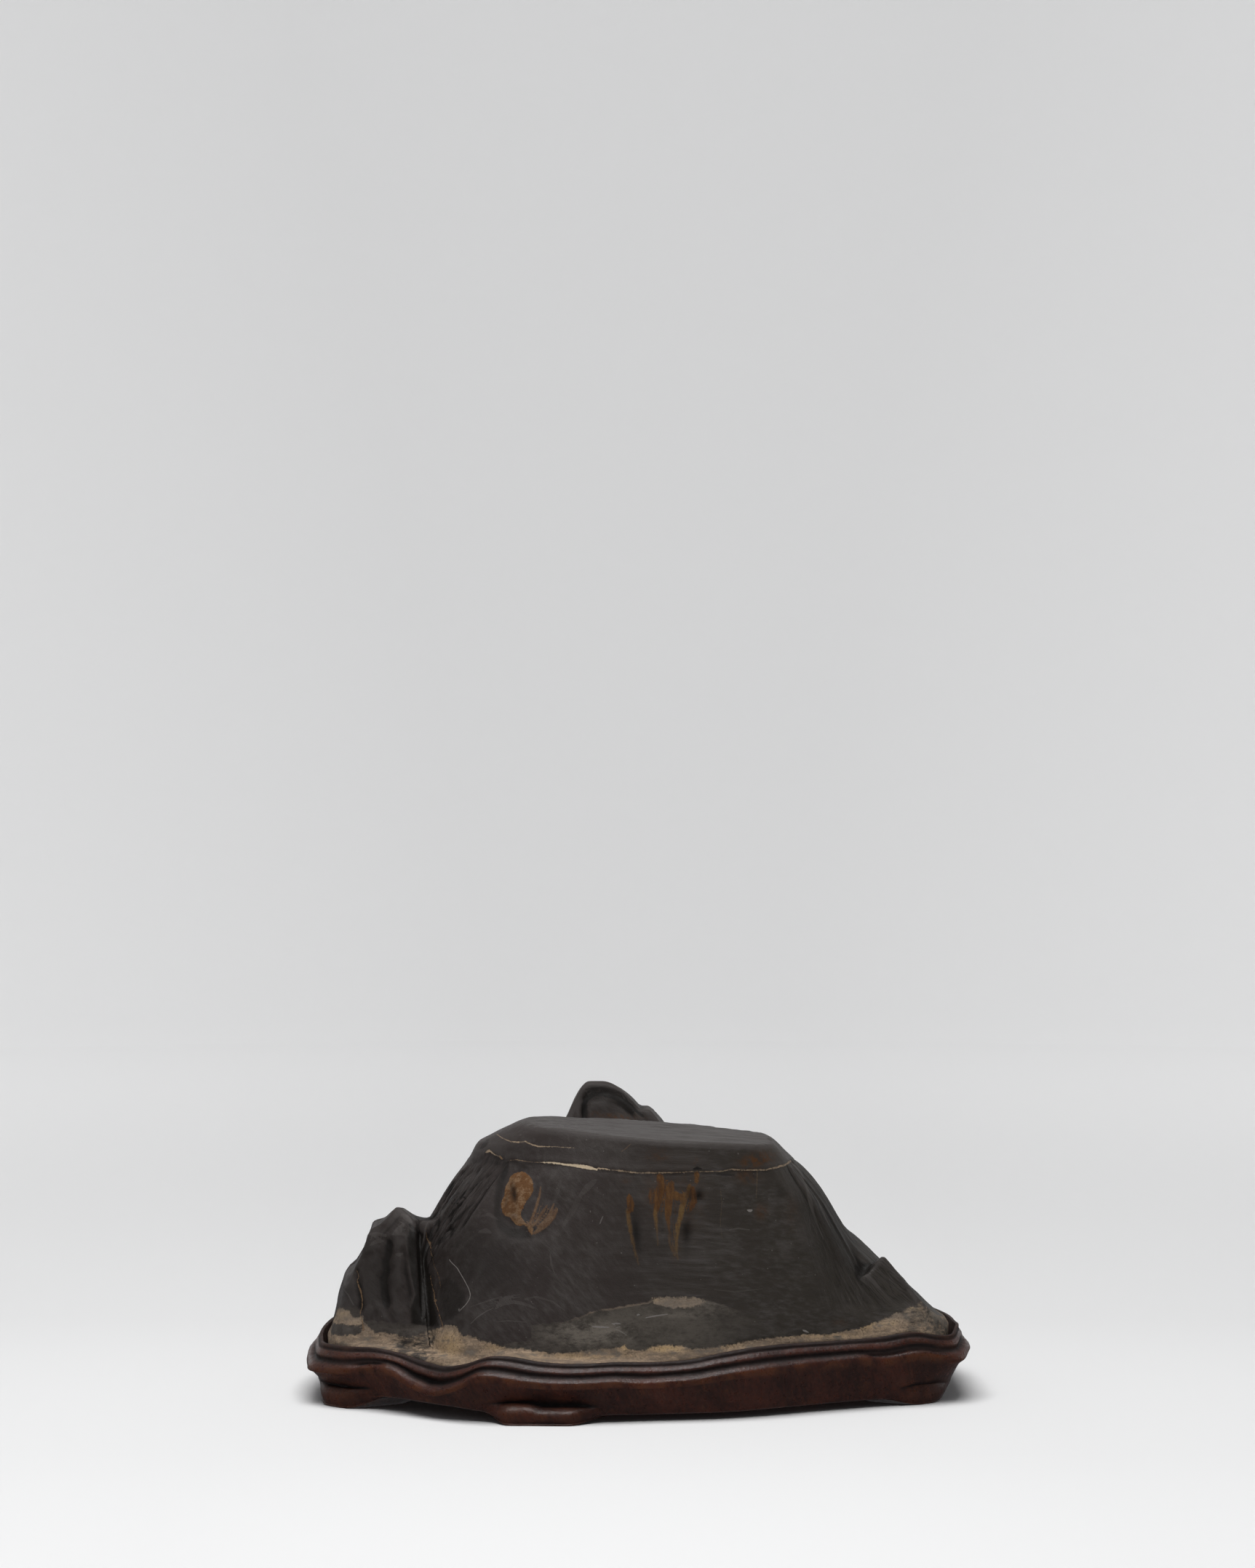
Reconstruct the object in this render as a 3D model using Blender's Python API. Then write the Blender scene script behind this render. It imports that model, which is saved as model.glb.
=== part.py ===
"""Scholars rock on its carved wooden stand.

A flat-topped natural stone sits in the seat of a stand carved from one block. Both are lofted from
rings that run round the same plan outline, so the seat follows the stone all the way round.
X runs right, Y runs back, Z runs up. The origin is at the middle of the feet, on the table.
"""
import math

import bmesh
import bpy
import numpy as np

MM = 0.001  # the form is worked out in millimetres and scaled once, when a mesh is made

# --- Driving dimensions, in millimetres ---------------------------------------------------------
AZIMUTHS = 104            # facets round the plan outline
STONE_RINGS = 24          # rings from the stone's middle to the rim
CENTRE = (0.0, -5.0)      # the axis that the rings turn about

SEAT_FLOOR = 9.1          # height of the bottom of the seat
STONE_BOTTOM = 9.5        # height of the underside of the stone
SEAT_GAP = 0.5            # room between the stone and the wall of the seat
UNDERSIDE = 3.2           # height of the underside of the stand
PLATEAU_HEIGHT = 91.0     # height of the flat top, above the axis
PLATEAU_TILT = 0.07       # fall of the flat top for each millimetre to the right
VEIN_HEIGHT = 80.5        # height of the pale vein under the bevelled cap
PEAK_HEIGHT = 100.8       # height of the far peak
CRAG_HEIGHT = 66.5        # height of the crag on the left
BROW_HEIGHT = 57.0        # height of the brow in the crag's front
SHOULDER_HEIGHT = 49.5    # height of the low shoulder on the right
LEDGE_HEIGHT = 49.2       # height of the shelf behind the shoulder
FOOT_HEIGHT = 20.0        # height where the main mass would meet its foot outline

# Plan outline where the stone enters the seat, with the height of the rim there.
RIM_OUTLINE = (
    (-106.5, -36, 20.8), (-104, -48, 20.6), (-97, -55, 20.7), (-88, -59, 20.9), (-80, -63, 20.0),
    (-70, -70, 18.1), (-63, -75, 17.4), (-56, -79, 19.0), (-48, -81.5, 21.8), (-42, -82.4, 21.9),
    (-33, -82.5, 20.3), (-20, -82.5, 19.5), (-8, -80.5, 19.7), (6, -78, 19.4), (18, -76.4, 20.1),
    (26, -75, 21.6), (38, -71.3, 23.1), (50, -66.2, 23.5), (66, -59.6, 23.4), (81, -54.2, 23.8),
    (93, -51, 24.9), (99, -48.5, 23.6), (104, -44, 23.0), (106.5, -37, 24.6), (107.2, -20, 24.0),
    (105, 12, 22.5), (90, 45, 23.5), (62, 69, 21.5), (25, 81.1, 23.0), (-15, 82.6, 21.0),
    (-52, 73, 22.5), (-82, 50, 21.0), (-100, 18, 22.5), (-107, -15, 21.5),
)

# Plan outline of the flat top, and of the foot of the main mass that carries it.
TOP_CENTRE = (4.0, -22.0)
TOP_OUTLINE = (
    (-40, -18), (-35, -38), (-14, -52.5), (4, -57), (21, -58), (35, -54.5), (45, -44), (46, -26),
    (43, -6), (30, 5), (6, 8), (-18, 7), (-33, 0),
)
FOOT_OUTLINE = (
    (-84, -12), (-81, -40), (-68, -62), (-50, -78), (-20, -83), (6, -79), (26, -75), (50, -67),
    (75, -57), (88, -48), (92, -36), (93, -15), (89, 15), (75, 38), (45, 50), (0, 50), (-45, 45),
    (-72, 20),
)
# Fall of the bevelled cap for each millimetre outwards, and how the sides below it curve: under 1
# they bulge, at 1 they run straight. Both change round the four sides.
CAP_SLOPE = {"left": 0.57, "right": 0.9, "front": 3.6, "back": 0.6}
SIDE_CURVE = {"left": 0.55, "right": 1.0, "front": 0.9, "back": 0.9}

# The crag's outline against the sky, left to right: X and height.
CRAG_OUTLINE = (
    (-108.5, 19.5), (-107.1, 21.0), (-105.4, 24.4), (-103.6, 32.8), (-101.6, 40.4), (-99.7, 43.0),
    (-97.9, 44.2), (-94.7, 50.0), (-91.6, 58.2), (-88.2, 59.8), (-82.8, 65.6), (-80.8, 65.4),
    (-76.4, 60.9), (-74.5, 60.2), (-68, 60.2),
)

# Natural faces of the stone: plan point, height there, and rise for each millimetre right and back.
CRAG_INNER = ((-75.2, -40), 58.0, (-7.0, 0))
CRAG_FRONT = ((-90, -56), 21.0, (0.90, 3.0))
CRAG_BROW = ((-81.5, -46.5), BROW_HEIGHT, (0.48, 1.6))
CRAG_BACK = ((-81.5, -40), CRAG_HEIGHT + 1.0, (0, -0.36))
CLEFT_FLOOR = ((-72.5, -66), 19.0, (0, 1.2))
SHOULDER_FRONT = ((84, -53.5), 22.0, (-0.26, 2.6))
SHOULDER_BACK = ((84, -40), SHOULDER_HEIGHT, (0, -1.6))
SHOULDER_INNER = ((84, -45), SHOULDER_HEIGHT, (0.9, 0))
SHOULDER_OUTER = ((84, -45), SHOULDER_HEIGHT, (-1.17, 0))
LEDGE_TOP = ((80.7, -12), LEDGE_HEIGHT, (-0.8, 0))
LEDGE_OUTER = ((82, -12), 48.6, (-1.15, 0))
LEDGE_INNER = ((67, -12), 52.0, (2.5, 0))
LEDGE_FRONT = ((82, -38), 48.0, (0, 2.0))
PEAK_LEFT = ((-20.6, 54), PEAK_HEIGHT, (2.5, 0))
PEAK_RIGHT = ((-7.2, 54), PEAK_HEIGHT, (-1.15, 0))
PEAK_KNEE = ((5, 54), 91.0, (-1.25, 0))
PEAK_FRONT = ((-12, 51), PEAK_HEIGHT, (0, 3.2))
PEAK_BACK = ((-12, 60), PEAK_HEIGHT, (0, -2.2))
REAR_FRONT = ((-12, 42), 70.0, (0, 1.2))
REAR_CREST = 74.0         # height of the long rear crest under the far peak

# How far faces are rounded into each other, in millimetres of height.
CRISP = 1.2
WORN = 2.0
ROUNDED = 3.0
SOFT = 6.0

# The stone's hidden base: distance in from the seat outline, and height.
BASE_PROFILE = ((0.3, 14.0), (1.0, 11.3), (3.0, STONE_BOTTOM), (40.0, STONE_BOTTOM))

# The feet of the stand: plan position of the middle of each, half its length round the rim, and
# how far its toe stands out past the outline of the seat.
FEET = (
    (-98, -54, 11.0, 1.6), (-29, -83, 15.0, 7.0), (96, -50, 11.0, 2.4), (98, 30, 11.0, 2.4),
    (5, 83, 14.0, 4.5), (-88, 42, 11.0, 2.4),
)
FOOT_DEPTH = 16.0         # how far a foot runs in under the stand


# --- Curves and blends ---------------------------------------------------------------------------
def smooth_min(a, b, width):
    """The lower of two surfaces, rounded over `width` where they cross."""
    h = np.clip(0.5 + 0.5 * (b - a) / width, 0, 1)
    return b * (1 - h) + a * h - width * h * (1 - h)


def smooth_max(a, b, width):
    """The higher of two surfaces, rounded over `width` where they cross."""
    return -smooth_min(-a, -b, width)


def smooth_step(low, high, value):
    """0 below `low`, 1 above `high`, eased between them."""
    t = np.clip((value - low) / (high - low), 0, 1)
    return t * t * (3 - 2 * t)


def around(points, values, centre, azimuth):
    """A smooth closed curve through `values`, one for each plan point, read at `azimuth`."""
    offset = np.array(points, float)[:, :2] - centre
    angle = np.arctan2(offset[:, 1], offset[:, 0])
    order = np.argsort(angle)
    angle, value = angle[order], np.array(values, float)[order]
    angle = np.concatenate([angle[-2:] - 2 * np.pi, angle, angle[:2] + 2 * np.pi])
    value = np.concatenate([value[-2:], value, value[:2]])
    step = np.diff(angle)
    rise = np.diff(value) / step
    slope = np.zeros_like(value)
    slope[1:-1] = (rise[:-1] * step[1:] + rise[1:] * step[:-1]) / (step[:-1] + step[1:])
    azimuth = (azimuth + np.pi) % (2 * np.pi) - np.pi
    i = np.clip(np.searchsorted(angle, azimuth, side="right") - 1, 1, len(angle) - 3)
    h = angle[i + 1] - angle[i]
    t = (azimuth - angle[i]) / h
    start = (1 + 2 * t) * (1 - t) ** 2 * value[i] + t * (1 - t) ** 2 * h * slope[i]
    end = t * t * (3 - 2 * t) * value[i + 1] + t * t * (t - 1) * h * slope[i + 1]
    return start + end


def radius(outline, centre, azimuth):
    """Radius of a plan outline about `centre` at `azimuth`."""
    reach = [math.hypot(p[0] - centre[0], p[1] - centre[1]) for p in outline]
    return around(outline, reach, centre, azimuth)


def rim_height(azimuth):
    """Height of the top of the stand's rim at `azimuth`."""
    return around(RIM_OUTLINE, [p[2] for p in RIM_OUTLINE], CENTRE, azimuth)


def polar(x, y, centre):
    """Distance and azimuth of a plan point about `centre`."""
    return np.hypot(x - centre[0], y - centre[1]), np.arctan2(y - centre[1], x - centre[0])


def by_side(azimuth, left, right, front, back):
    """A value that changes smoothly round the four sides."""
    c, s = np.cos(azimuth), np.sin(azimuth)
    across = left * np.clip(-c, 0, 1) ** 2 + right * np.clip(c, 0, 1) ** 2
    along = front * np.clip(-s, 0, 1) ** 2 + back * np.clip(s, 0, 1) ** 2
    return across + along


# --- The stone, as a height over the plan --------------------------------------------------------
def facet(face, x, y):
    """Height of one natural face over the plan point."""
    (at_x, at_y), height, (rise_right, rise_back) = face
    return height + rise_right * (x - at_x) + rise_back * (y - at_y)


def main_mass(x, y):
    """The flat top, its bevelled cap and the steep sides below the vein."""
    distance, azimuth = polar(x, y, TOP_CENTRE)
    top_edge = radius(TOP_OUTLINE, TOP_CENTRE, azimuth)
    foot = radius(FOOT_OUTLINE, TOP_CENTRE, azimuth)
    plateau = PLATEAU_HEIGHT - PLATEAU_TILT * x
    cap_slope = by_side(azimuth, **CAP_SLOPE)
    cap = plateau - cap_slope * (distance - top_edge)
    vein = top_edge + (PLATEAU_HEIGHT - VEIN_HEIGHT) / cap_slope
    climb = np.clip((foot - distance) / (foot - vein), 0, None)
    curved = np.where(climb < 1, climb ** by_side(azimuth, **SIDE_CURVE), climb)
    side = FOOT_HEIGHT + (VEIN_HEIGHT - FOOT_HEIGHT) * curved
    return smooth_min(smooth_min(side, cap, WORN), plateau, CRISP)


def crag(x, y):
    """The crag on the left: a pointed slab with a steep front under a leaning brow."""
    crest = np.interp(x, *zip(*CRAG_OUTLINE))
    saddle = 6.0 * np.clip(y + 40, 0, 20)
    slab = smooth_min(crest, facet(CRAG_INNER, x, y) + saddle, WORN)
    front = smooth_min(facet(CRAG_FRONT, x, y), facet(CRAG_BROW, x, y), CRISP)
    return smooth_min(smooth_min(slab, front, CRISP), facet(CRAG_BACK, x, y), ROUNDED)


def cleft(x, y):
    """The deep cleft between the crag and the main mass, as the height that it is cut down to."""
    middle = -72.5 - 0.10 * (y + 62)
    across = x - middle
    return facet(CLEFT_FLOOR, x, y) + np.where(across > 0, 2.0 * across, -9.0 * across)


def shoulder(x, y):
    """The low pointed shoulder on the right, in line with the front face."""
    crest = smooth_min(facet(SHOULDER_INNER, x, y), facet(SHOULDER_OUTER, x, y), WORN)
    slab = smooth_min(facet(SHOULDER_FRONT, x, y), facet(SHOULDER_BACK, x, y), ROUNDED)
    return smooth_min(crest, slab, WORN)


def ledge(x, y):
    """The shelf behind the shoulder, which runs down from the right flank."""
    crest = smooth_min(facet(LEDGE_TOP, x, y), facet(LEDGE_OUTER, x, y), WORN)
    shelf = smooth_min(crest, facet(LEDGE_INNER, x, y), WORN) - 0.12 * np.abs(y + 12)
    return smooth_min(shelf, facet(LEDGE_FRONT, x, y), ROUNDED)


def far_peak(x, y):
    """The small peak that stands behind the flat top."""
    knee = smooth_min(PEAK_KNEE[1], facet(PEAK_KNEE, x, y), CRISP)
    right = smooth_max(facet(PEAK_RIGHT, x, y), knee, CRISP)
    crest = smooth_min(facet(PEAK_LEFT, x, y), right, ROUNDED)
    crest = smooth_min(crest, PEAK_HEIGHT + 0.6 - 0.25 * np.abs(y - 54), SOFT)
    return smooth_min(crest, smooth_min(facet(PEAK_FRONT, x, y), facet(PEAK_BACK, x, y), ROUNDED), WORN)


def rear_slope(x, y, inward):
    """The long slopes under the far peak, down to the back of the seat."""
    crest = REAR_CREST - 0.5 * np.abs(x + 12)
    edge = 24 + 2.4 * inward
    return smooth_min(smooth_min(crest, facet(REAR_FRONT, x, y), SOFT), edge, SOFT)


def stone_height(x, y):
    """Height of the stone's surface over the plan point."""
    distance, azimuth = polar(x, y, CENTRE)
    inward = radius(RIM_OUTLINE, CENTRE, azimuth) - distance
    rim = rim_height(azimuth)
    height = smooth_max(main_mass(x, y), crag(x, y), CRISP)
    cut = smooth_step(-14, -30, y)
    height = height * (1 - cut) + smooth_min(height, cleft(x, y), WORN) * cut
    height = smooth_max(height, ledge(x, y), ROUNDED)
    low_shoulder = shoulder(x, y)
    height = smooth_max(height, low_shoulder, CRISP + 0.9 * np.clip(44 - low_shoulder, 0, 24))
    height = smooth_max(height, far_peak(x, y), SOFT)
    height = smooth_max(height, rear_slope(x, y, inward), SOFT)
    height = smooth_max(height, rim, ROUNDED)
    return smooth_min(height, rim + 3.4 * inward, WORN)


# --- Building meshes -----------------------------------------------------------------------------
def loft(name, rings, material):
    """A closed body from rings of points; the first and the last ring are single points."""
    mesh = bpy.data.meshes.new(name)
    bm = bmesh.new()
    loops = [[bm.verts.new(np.array(point) * MM) for point in ring] for ring in rings]
    count = len(loops[1])
    for inner, outer in zip(loops, loops[1:]):
        for i in range(count):
            j = (i + 1) % count
            if len(inner) == 1:
                bm.faces.new((inner[0], outer[i], outer[j]))
            elif len(outer) == 1:
                bm.faces.new((inner[i], outer[0], inner[j]))
            else:
                bm.faces.new((inner[i], outer[i], outer[j], inner[j]))
    bmesh.ops.recalc_face_normals(bm, faces=bm.faces)
    bm.to_mesh(mesh)
    bm.free()
    mesh.materials.append(material)
    mesh.shade_smooth()
    mesh.set_sharp_from_angle(angle=math.radians(40))
    body = bpy.data.objects.new(name, mesh)
    bpy.context.scene.collection.objects.link(body)
    return body


def ring_points(azimuth, reach, height):
    """Points of one ring, from its radius and height at each azimuth."""
    x = CENTRE[0] + reach * np.cos(azimuth)
    y = CENTRE[1] + reach * np.sin(azimuth)
    return np.column_stack([x, y, np.broadcast_to(height, azimuth.shape)])


def principled(name, colour, roughness, metallic=0.0):
    """A plain material."""
    material = bpy.data.materials.new(name)
    material.use_nodes = True
    shader = material.node_tree.nodes["Principled BSDF"]
    shader.inputs["Base Color"].default_value = (*colour, 1.0)
    shader.inputs["Roughness"].default_value = roughness
    shader.inputs["Metallic"].default_value = metallic
    return material


def build_stone(azimuth, reach, material):
    """The natural stone: its upper surface in rings of even slope length, then its hidden base."""
    share = np.linspace(0, 1, 400)[:, None]
    distance = share * reach
    x = CENTRE[0] + distance * np.cos(azimuth)
    y = CENTRE[1] + distance * np.sin(azimuth)
    height = stone_height(x, y)
    run = np.hypot(np.diff(distance, axis=0), np.diff(height, axis=0))
    length = np.vstack([np.zeros_like(azimuth), np.cumsum(run, axis=0)])
    rings = [[(CENTRE[0], CENTRE[1], float(height[0, 0]))]]
    for part in np.linspace(0, 1, STONE_RINGS + 1)[1:]:
        along = [np.interp(part * length[-1, i], length[:, i], distance[:, i]) for i in range(AZIMUTHS)]
        up = [np.interp(part * length[-1, i], length[:, i], height[:, i]) for i in range(AZIMUTHS)]
        rings.append(ring_points(azimuth, np.array(along), np.array(up)))
    for inset, level in BASE_PROFILE:
        rings.append(ring_points(azimuth, reach - inset, level))
    rings.append([(CENTRE[0], CENTRE[1], STONE_BOTTOM)])
    return loft("stone", rings, material)


def feet_round(azimuth, reach):
    """How much of a foot there is at each azimuth, from 0 to 1, and how far its toe stands out."""
    share = np.zeros_like(azimuth)
    toe = np.zeros_like(azimuth)
    x = CENTRE[0] + reach * np.cos(azimuth)
    y = CENTRE[1] + reach * np.sin(azimuth)
    for foot_x, foot_y, half, stands_out in FEET:
        here = 1 - smooth_step(half - 2, half + 7, np.hypot(x - foot_x, y - foot_y))
        share = np.maximum(share, here)
        toe += here * stands_out
    return share, toe


def build_stand(azimuth, reach, rim, material):
    """The stand: seat, rim with its rolled lip, swelling side, underside and feet."""
    foot, toe = feet_round(azimuth, reach)
    front = np.clip(-np.sin(azimuth), 0, 1)
    x = CENTRE[0] + reach * np.cos(azimuth)
    right = smooth_step(97, 105, x)
    left = smooth_step(-100, -106, x)
    lip = 1.8 * right + 1.0 * left
    wide = 1.6 * right + 1.4 * left
    low = 1.0 + 2.4 * front
    edge = low * (1 - foot) + toe
    sole = UNDERSIDE * (1 - foot)
    profile = (
        (reach - 40.0, SEAT_FLOOR),
        (reach - 2.7, SEAT_FLOOR),
        (reach - 1.0 + SEAT_GAP, 11.0),
        (reach - 0.3 + SEAT_GAP, 14.0),
        (reach + SEAT_GAP + lip, rim - 0.8),
        (reach + 1.3 + lip, rim),
        (reach + 2.2 + 0.8 * lip, rim - 0.5),
        (reach + 3.4 + 0.5 * lip, rim - 2.4),
        (reach + 3.7 + 0.4 * lip, rim - 4.1),
        (reach + 5.0 + wide, rim - 4.7),
        (reach + 5.9 + wide, rim - 6.6),
        (reach + 4.2 + 0.9 * front + 0.5 * wide, 9.2),
        (reach + low + 0.4, 6.2),
        (reach + edge, 5.0 - 0.6 * foot),
        (reach + edge, 3.9 - 3.2 * foot),
        (reach + edge - 1.0, sole - 0.6 * (1 - foot)),
        (reach - FOOT_DEPTH, sole),
        (reach - FOOT_DEPTH - 2.5, UNDERSIDE),
    )
    rings = [[(CENTRE[0], CENTRE[1], SEAT_FLOOR)]]
    rings += [ring_points(azimuth, at, level) for at, level in profile]
    rings.append([(CENTRE[0], CENTRE[1], UNDERSIDE)])
    return loft("stand", rings, material)


def main():
    """Clear the scene and build the two pieces."""
    for old in list(bpy.data.objects):
        bpy.data.objects.remove(old, do_unlink=True)
    azimuth = np.linspace(-math.pi, math.pi, AZIMUTHS, endpoint=False)
    reach = radius(RIM_OUTLINE, CENTRE, azimuth)
    rim = rim_height(azimuth)
    build_stone(azimuth, reach, principled("dark_waxed_stone", (0.045, 0.040, 0.038), 0.45))
    build_stand(azimuth, reach, rim, principled("oiled_dark_wood", (0.060, 0.018, 0.012), 0.35))


if __name__ == "__main__":
    main()
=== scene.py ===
"""The looks of a scholars rock on its carved wooden stand.

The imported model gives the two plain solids. Here the stone is built again with its full relief and
its markings, the stand with its carved mouldings, and both get their finish. Sizes are in
millimetres until a mesh is made. X runs right, Y runs back and Z runs up from the table.
"""
import logging
import math
from dataclasses import dataclass
from typing import Optional, Sequence

import bpy
import numpy as np
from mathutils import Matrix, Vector


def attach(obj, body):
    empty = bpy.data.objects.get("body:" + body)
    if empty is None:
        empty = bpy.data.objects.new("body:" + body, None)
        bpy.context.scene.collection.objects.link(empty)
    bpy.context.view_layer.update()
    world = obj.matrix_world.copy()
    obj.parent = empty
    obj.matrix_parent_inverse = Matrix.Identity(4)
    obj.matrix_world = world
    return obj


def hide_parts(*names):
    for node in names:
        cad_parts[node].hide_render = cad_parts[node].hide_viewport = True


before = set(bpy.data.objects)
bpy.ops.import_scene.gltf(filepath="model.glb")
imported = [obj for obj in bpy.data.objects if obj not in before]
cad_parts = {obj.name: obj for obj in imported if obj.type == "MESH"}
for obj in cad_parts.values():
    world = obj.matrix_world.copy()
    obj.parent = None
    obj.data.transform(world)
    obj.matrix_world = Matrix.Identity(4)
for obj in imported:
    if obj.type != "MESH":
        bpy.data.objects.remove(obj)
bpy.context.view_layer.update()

logging.basicConfig(level=logging.INFO, format="%(message)s")
log = logging.getLogger("scholars_rock")

MM = 0.001
BODY = "root"
Array = np.ndarray
Points = Sequence[tuple[float, float]]
# Soft spots: place, half sizes, strength and, where it is turned, its turn in degrees.
Spots = Sequence[tuple]


# --- Curves, blends and noise --------------------------------------------------------------------
def smooth_min(a: Array, b: Array, width: float) -> Array:
    """The lower of two surfaces, rounded over `width` where they cross."""
    h = np.clip(0.5 + 0.5 * (b - a) / width, 0, 1)
    return b * (1 - h) + a * h - width * h * (1 - h)


def smooth_max(a: Array, b: Array, width: float) -> Array:
    """The higher of two surfaces, rounded over `width` where they cross."""
    return -smooth_min(-a, -b, width)


def ease(low: float, high: float, value: Array) -> Array:
    """0 below `low`, 1 above `high`, eased between them. `low` may be above `high`."""
    t = np.clip((value - low) / (high - low), 0, 1)
    return t * t * (3 - 2 * t)


def ridge(value: Array) -> Array:
    """Turns noise from -1 to 1 into sharp crests at its zeros, from 0 to 1."""
    return 1 - np.abs(value)


class Noise:
    """Smooth noise in space, the same in every run."""

    def __init__(self, seed: int) -> None:
        """Shuffles the lattice with `seed`."""
        rng = np.random.default_rng(seed)
        self.order = rng.permutation(256)
        self.level = rng.uniform(-1, 1, 256)

    def plain(self, p: Array) -> Array:
        """Noise from -1 to 1.

        Args:
            p: Points, three numbers each, one lattice cell to a unit.

        Returns:
            One value for each point.
        """
        cell = np.floor(p).astype(int)
        t = p - cell
        w = t * t * t * (t * (t * 6 - 15) + 10)
        total = np.zeros(p.shape[:-1])
        for dx in (0, 1):
            across = self.order[(cell[..., 0] + dx) & 255]
            wx = w[..., 0] if dx else 1 - w[..., 0]
            for dy in (0, 1):
                along = self.order[(across + cell[..., 1] + dy) & 255]
                wy = w[..., 1] if dy else 1 - w[..., 1]
                for dz in (0, 1):
                    wz = w[..., 2] if dz else 1 - w[..., 2]
                    total += self.level[self.order[(along + cell[..., 2] + dz) & 255]] * wx * wy * wz
        return total

    def fractal(self, p: Array, octaves: int = 2) -> Array:
        """Octaves of noise, each twice as fine and half as strong as the last."""
        return sum(self.plain(p * 2.0 ** i + 17.3 * i) / 2.0 ** i for i in range(octaves))


def read(curve: Points, at: Array) -> Array:
    """A curve given by its points, read at `at`."""
    return np.interp(at, [p[0] for p in curve], [p[1] for p in curve])


def stack(*parts: Array) -> Array:
    """Joins coordinate arrays into points."""
    return np.stack(np.broadcast_arrays(*parts), axis=-1)


def around(points: Sequence[Sequence[float]], values: Sequence[float], centre: tuple[float, float],
           azimuth: Array) -> Array:
    """A smooth closed curve round a centre.

    Args:
        points: Plan points that the values belong to.
        values: One value for each plan point.
        centre: The plan point that azimuth turns about.
        azimuth: Where the curve is read, in radians.

    Returns:
        The curve's value at each azimuth.
    """
    offset = np.array(points, float)[:, :2] - centre
    angle = np.arctan2(offset[:, 1], offset[:, 0])
    order = np.argsort(angle)
    angle, value = angle[order], np.array(values, float)[order]
    angle = np.concatenate([angle[-2:] - 2 * np.pi, angle, angle[:2] + 2 * np.pi])
    value = np.concatenate([value[-2:], value, value[:2]])
    step = np.diff(angle)
    rise = np.diff(value) / step
    slope = np.zeros_like(value)
    slope[1:-1] = (rise[:-1] * step[1:] + rise[1:] * step[:-1]) / (step[:-1] + step[1:])
    azimuth = (azimuth + np.pi) % (2 * np.pi) - np.pi
    i = np.clip(np.searchsorted(angle, azimuth, side="right") - 1, 1, len(angle) - 3)
    h = angle[i + 1] - angle[i]
    t = (azimuth - angle[i]) / h
    start = (1 + 2 * t) * (1 - t) ** 2 * value[i] + t * (1 - t) ** 2 * h * slope[i]
    end = t * t * (3 - 2 * t) * value[i + 1] + t * t * (t - 1) * h * slope[i + 1]
    return start + end


def radius(outline: Sequence[Sequence[float]], centre: tuple[float, float], azimuth: Array) -> Array:
    """Radius of a plan outline about `centre` at `azimuth`."""
    reach = [math.hypot(p[0] - centre[0], p[1] - centre[1]) for p in outline]
    return around(outline, reach, centre, azimuth)


def polar(x: Array, y: Array, centre: tuple[float, float]) -> tuple[Array, Array]:
    """Distance and azimuth of a plan point about `centre`."""
    return np.hypot(x - centre[0], y - centre[1]), np.arctan2(y - centre[1], x - centre[0])


# --- The view ------------------------------------------------------------------------------------
@dataclass(frozen=True)
class FrontView:
    """The camera in front of the stone, and the picture plane that the markings are laid out in.

    Picture coordinates are in a frame 1725 wide and 2156 high, from its top left corner.
    """

    place: tuple[float, float, float] = (-3.5, -1212.0, 210.9)
    focal: float = 4700.0
    centre: tuple[float, float] = (862.5, 1078.0)
    long_side: float = 2156.0
    sensor: float = 36.0
    unit: float = 1163.0 / 4700.0  # millimetres on the front face for one unit of the picture

    def project(self, p: Array) -> tuple[Array, Array]:
        """Picture coordinates of points in space."""
        deep = p[..., 1] - self.place[1]
        u = self.centre[0] + self.focal * (p[..., 0] - self.place[0]) / deep
        v = self.centre[1] + self.focal * (self.place[2] - p[..., 2]) / deep
        return u, v

    def add_camera(self) -> None:
        """Adds the scene's camera."""
        data = bpy.data.cameras.new("front_view")
        data.sensor_width = self.sensor
        data.lens = self.focal / self.long_side * self.sensor
        data.clip_start, data.clip_end = 0.05, 50
        camera = bpy.data.objects.new("front_view", data)
        camera.location = Vector(self.place) * MM
        camera.rotation_euler = (math.pi / 2, 0, 0)
        bpy.context.scene.collection.objects.link(camera)
        bpy.context.scene.camera = camera


VIEW = FrontView()


def beside(line: Points, u: Array, v: Array) -> tuple[Array, Array]:
    """Distance from an open line in the picture plane.

    Args:
        line: Its points, in order.
        u: Picture coordinate across.
        v: Picture coordinate down.

    Returns:
        The distance, positive on the right-hand side as the line runs, and the share of the line
        that lies before the nearest point, from 0 to 1.
    """
    nearest = np.full(u.shape, np.inf)
    signed, share = np.zeros(u.shape), np.zeros(u.shape)
    lengths = [math.dist(a, b) for a, b in zip(line, line[1:])]
    done = 0.0
    for (a, b), length in zip(zip(line, line[1:]), lengths):
        along = ((u - a[0]) * (b[0] - a[0]) + (v - a[1]) * (b[1] - a[1])) / length ** 2
        t = np.clip(along, 0, 1)
        du, dv = u - a[0] - t * (b[0] - a[0]), v - a[1] - t * (b[1] - a[1])
        away = np.hypot(du, dv)
        side = np.where((b[0] - a[0]) * (v - a[1]) - (b[1] - a[1]) * (u - a[0]) < 0, -1.0, 1.0)
        closer = away < nearest
        nearest = np.where(closer, away, nearest)
        signed = np.where(closer, away * side, signed)
        share = np.where(closer, (done + t * length) / sum(lengths), share)
        done += length
    return signed, share


def under(line: Points, u: Array, v: Array) -> Array:
    """Distance from a line that runs across from left to right, positive below it."""
    away, _ = beside(line, u, v)
    return np.abs(away) * np.where(v > read(line, u), 1.0, -1.0)


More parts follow.
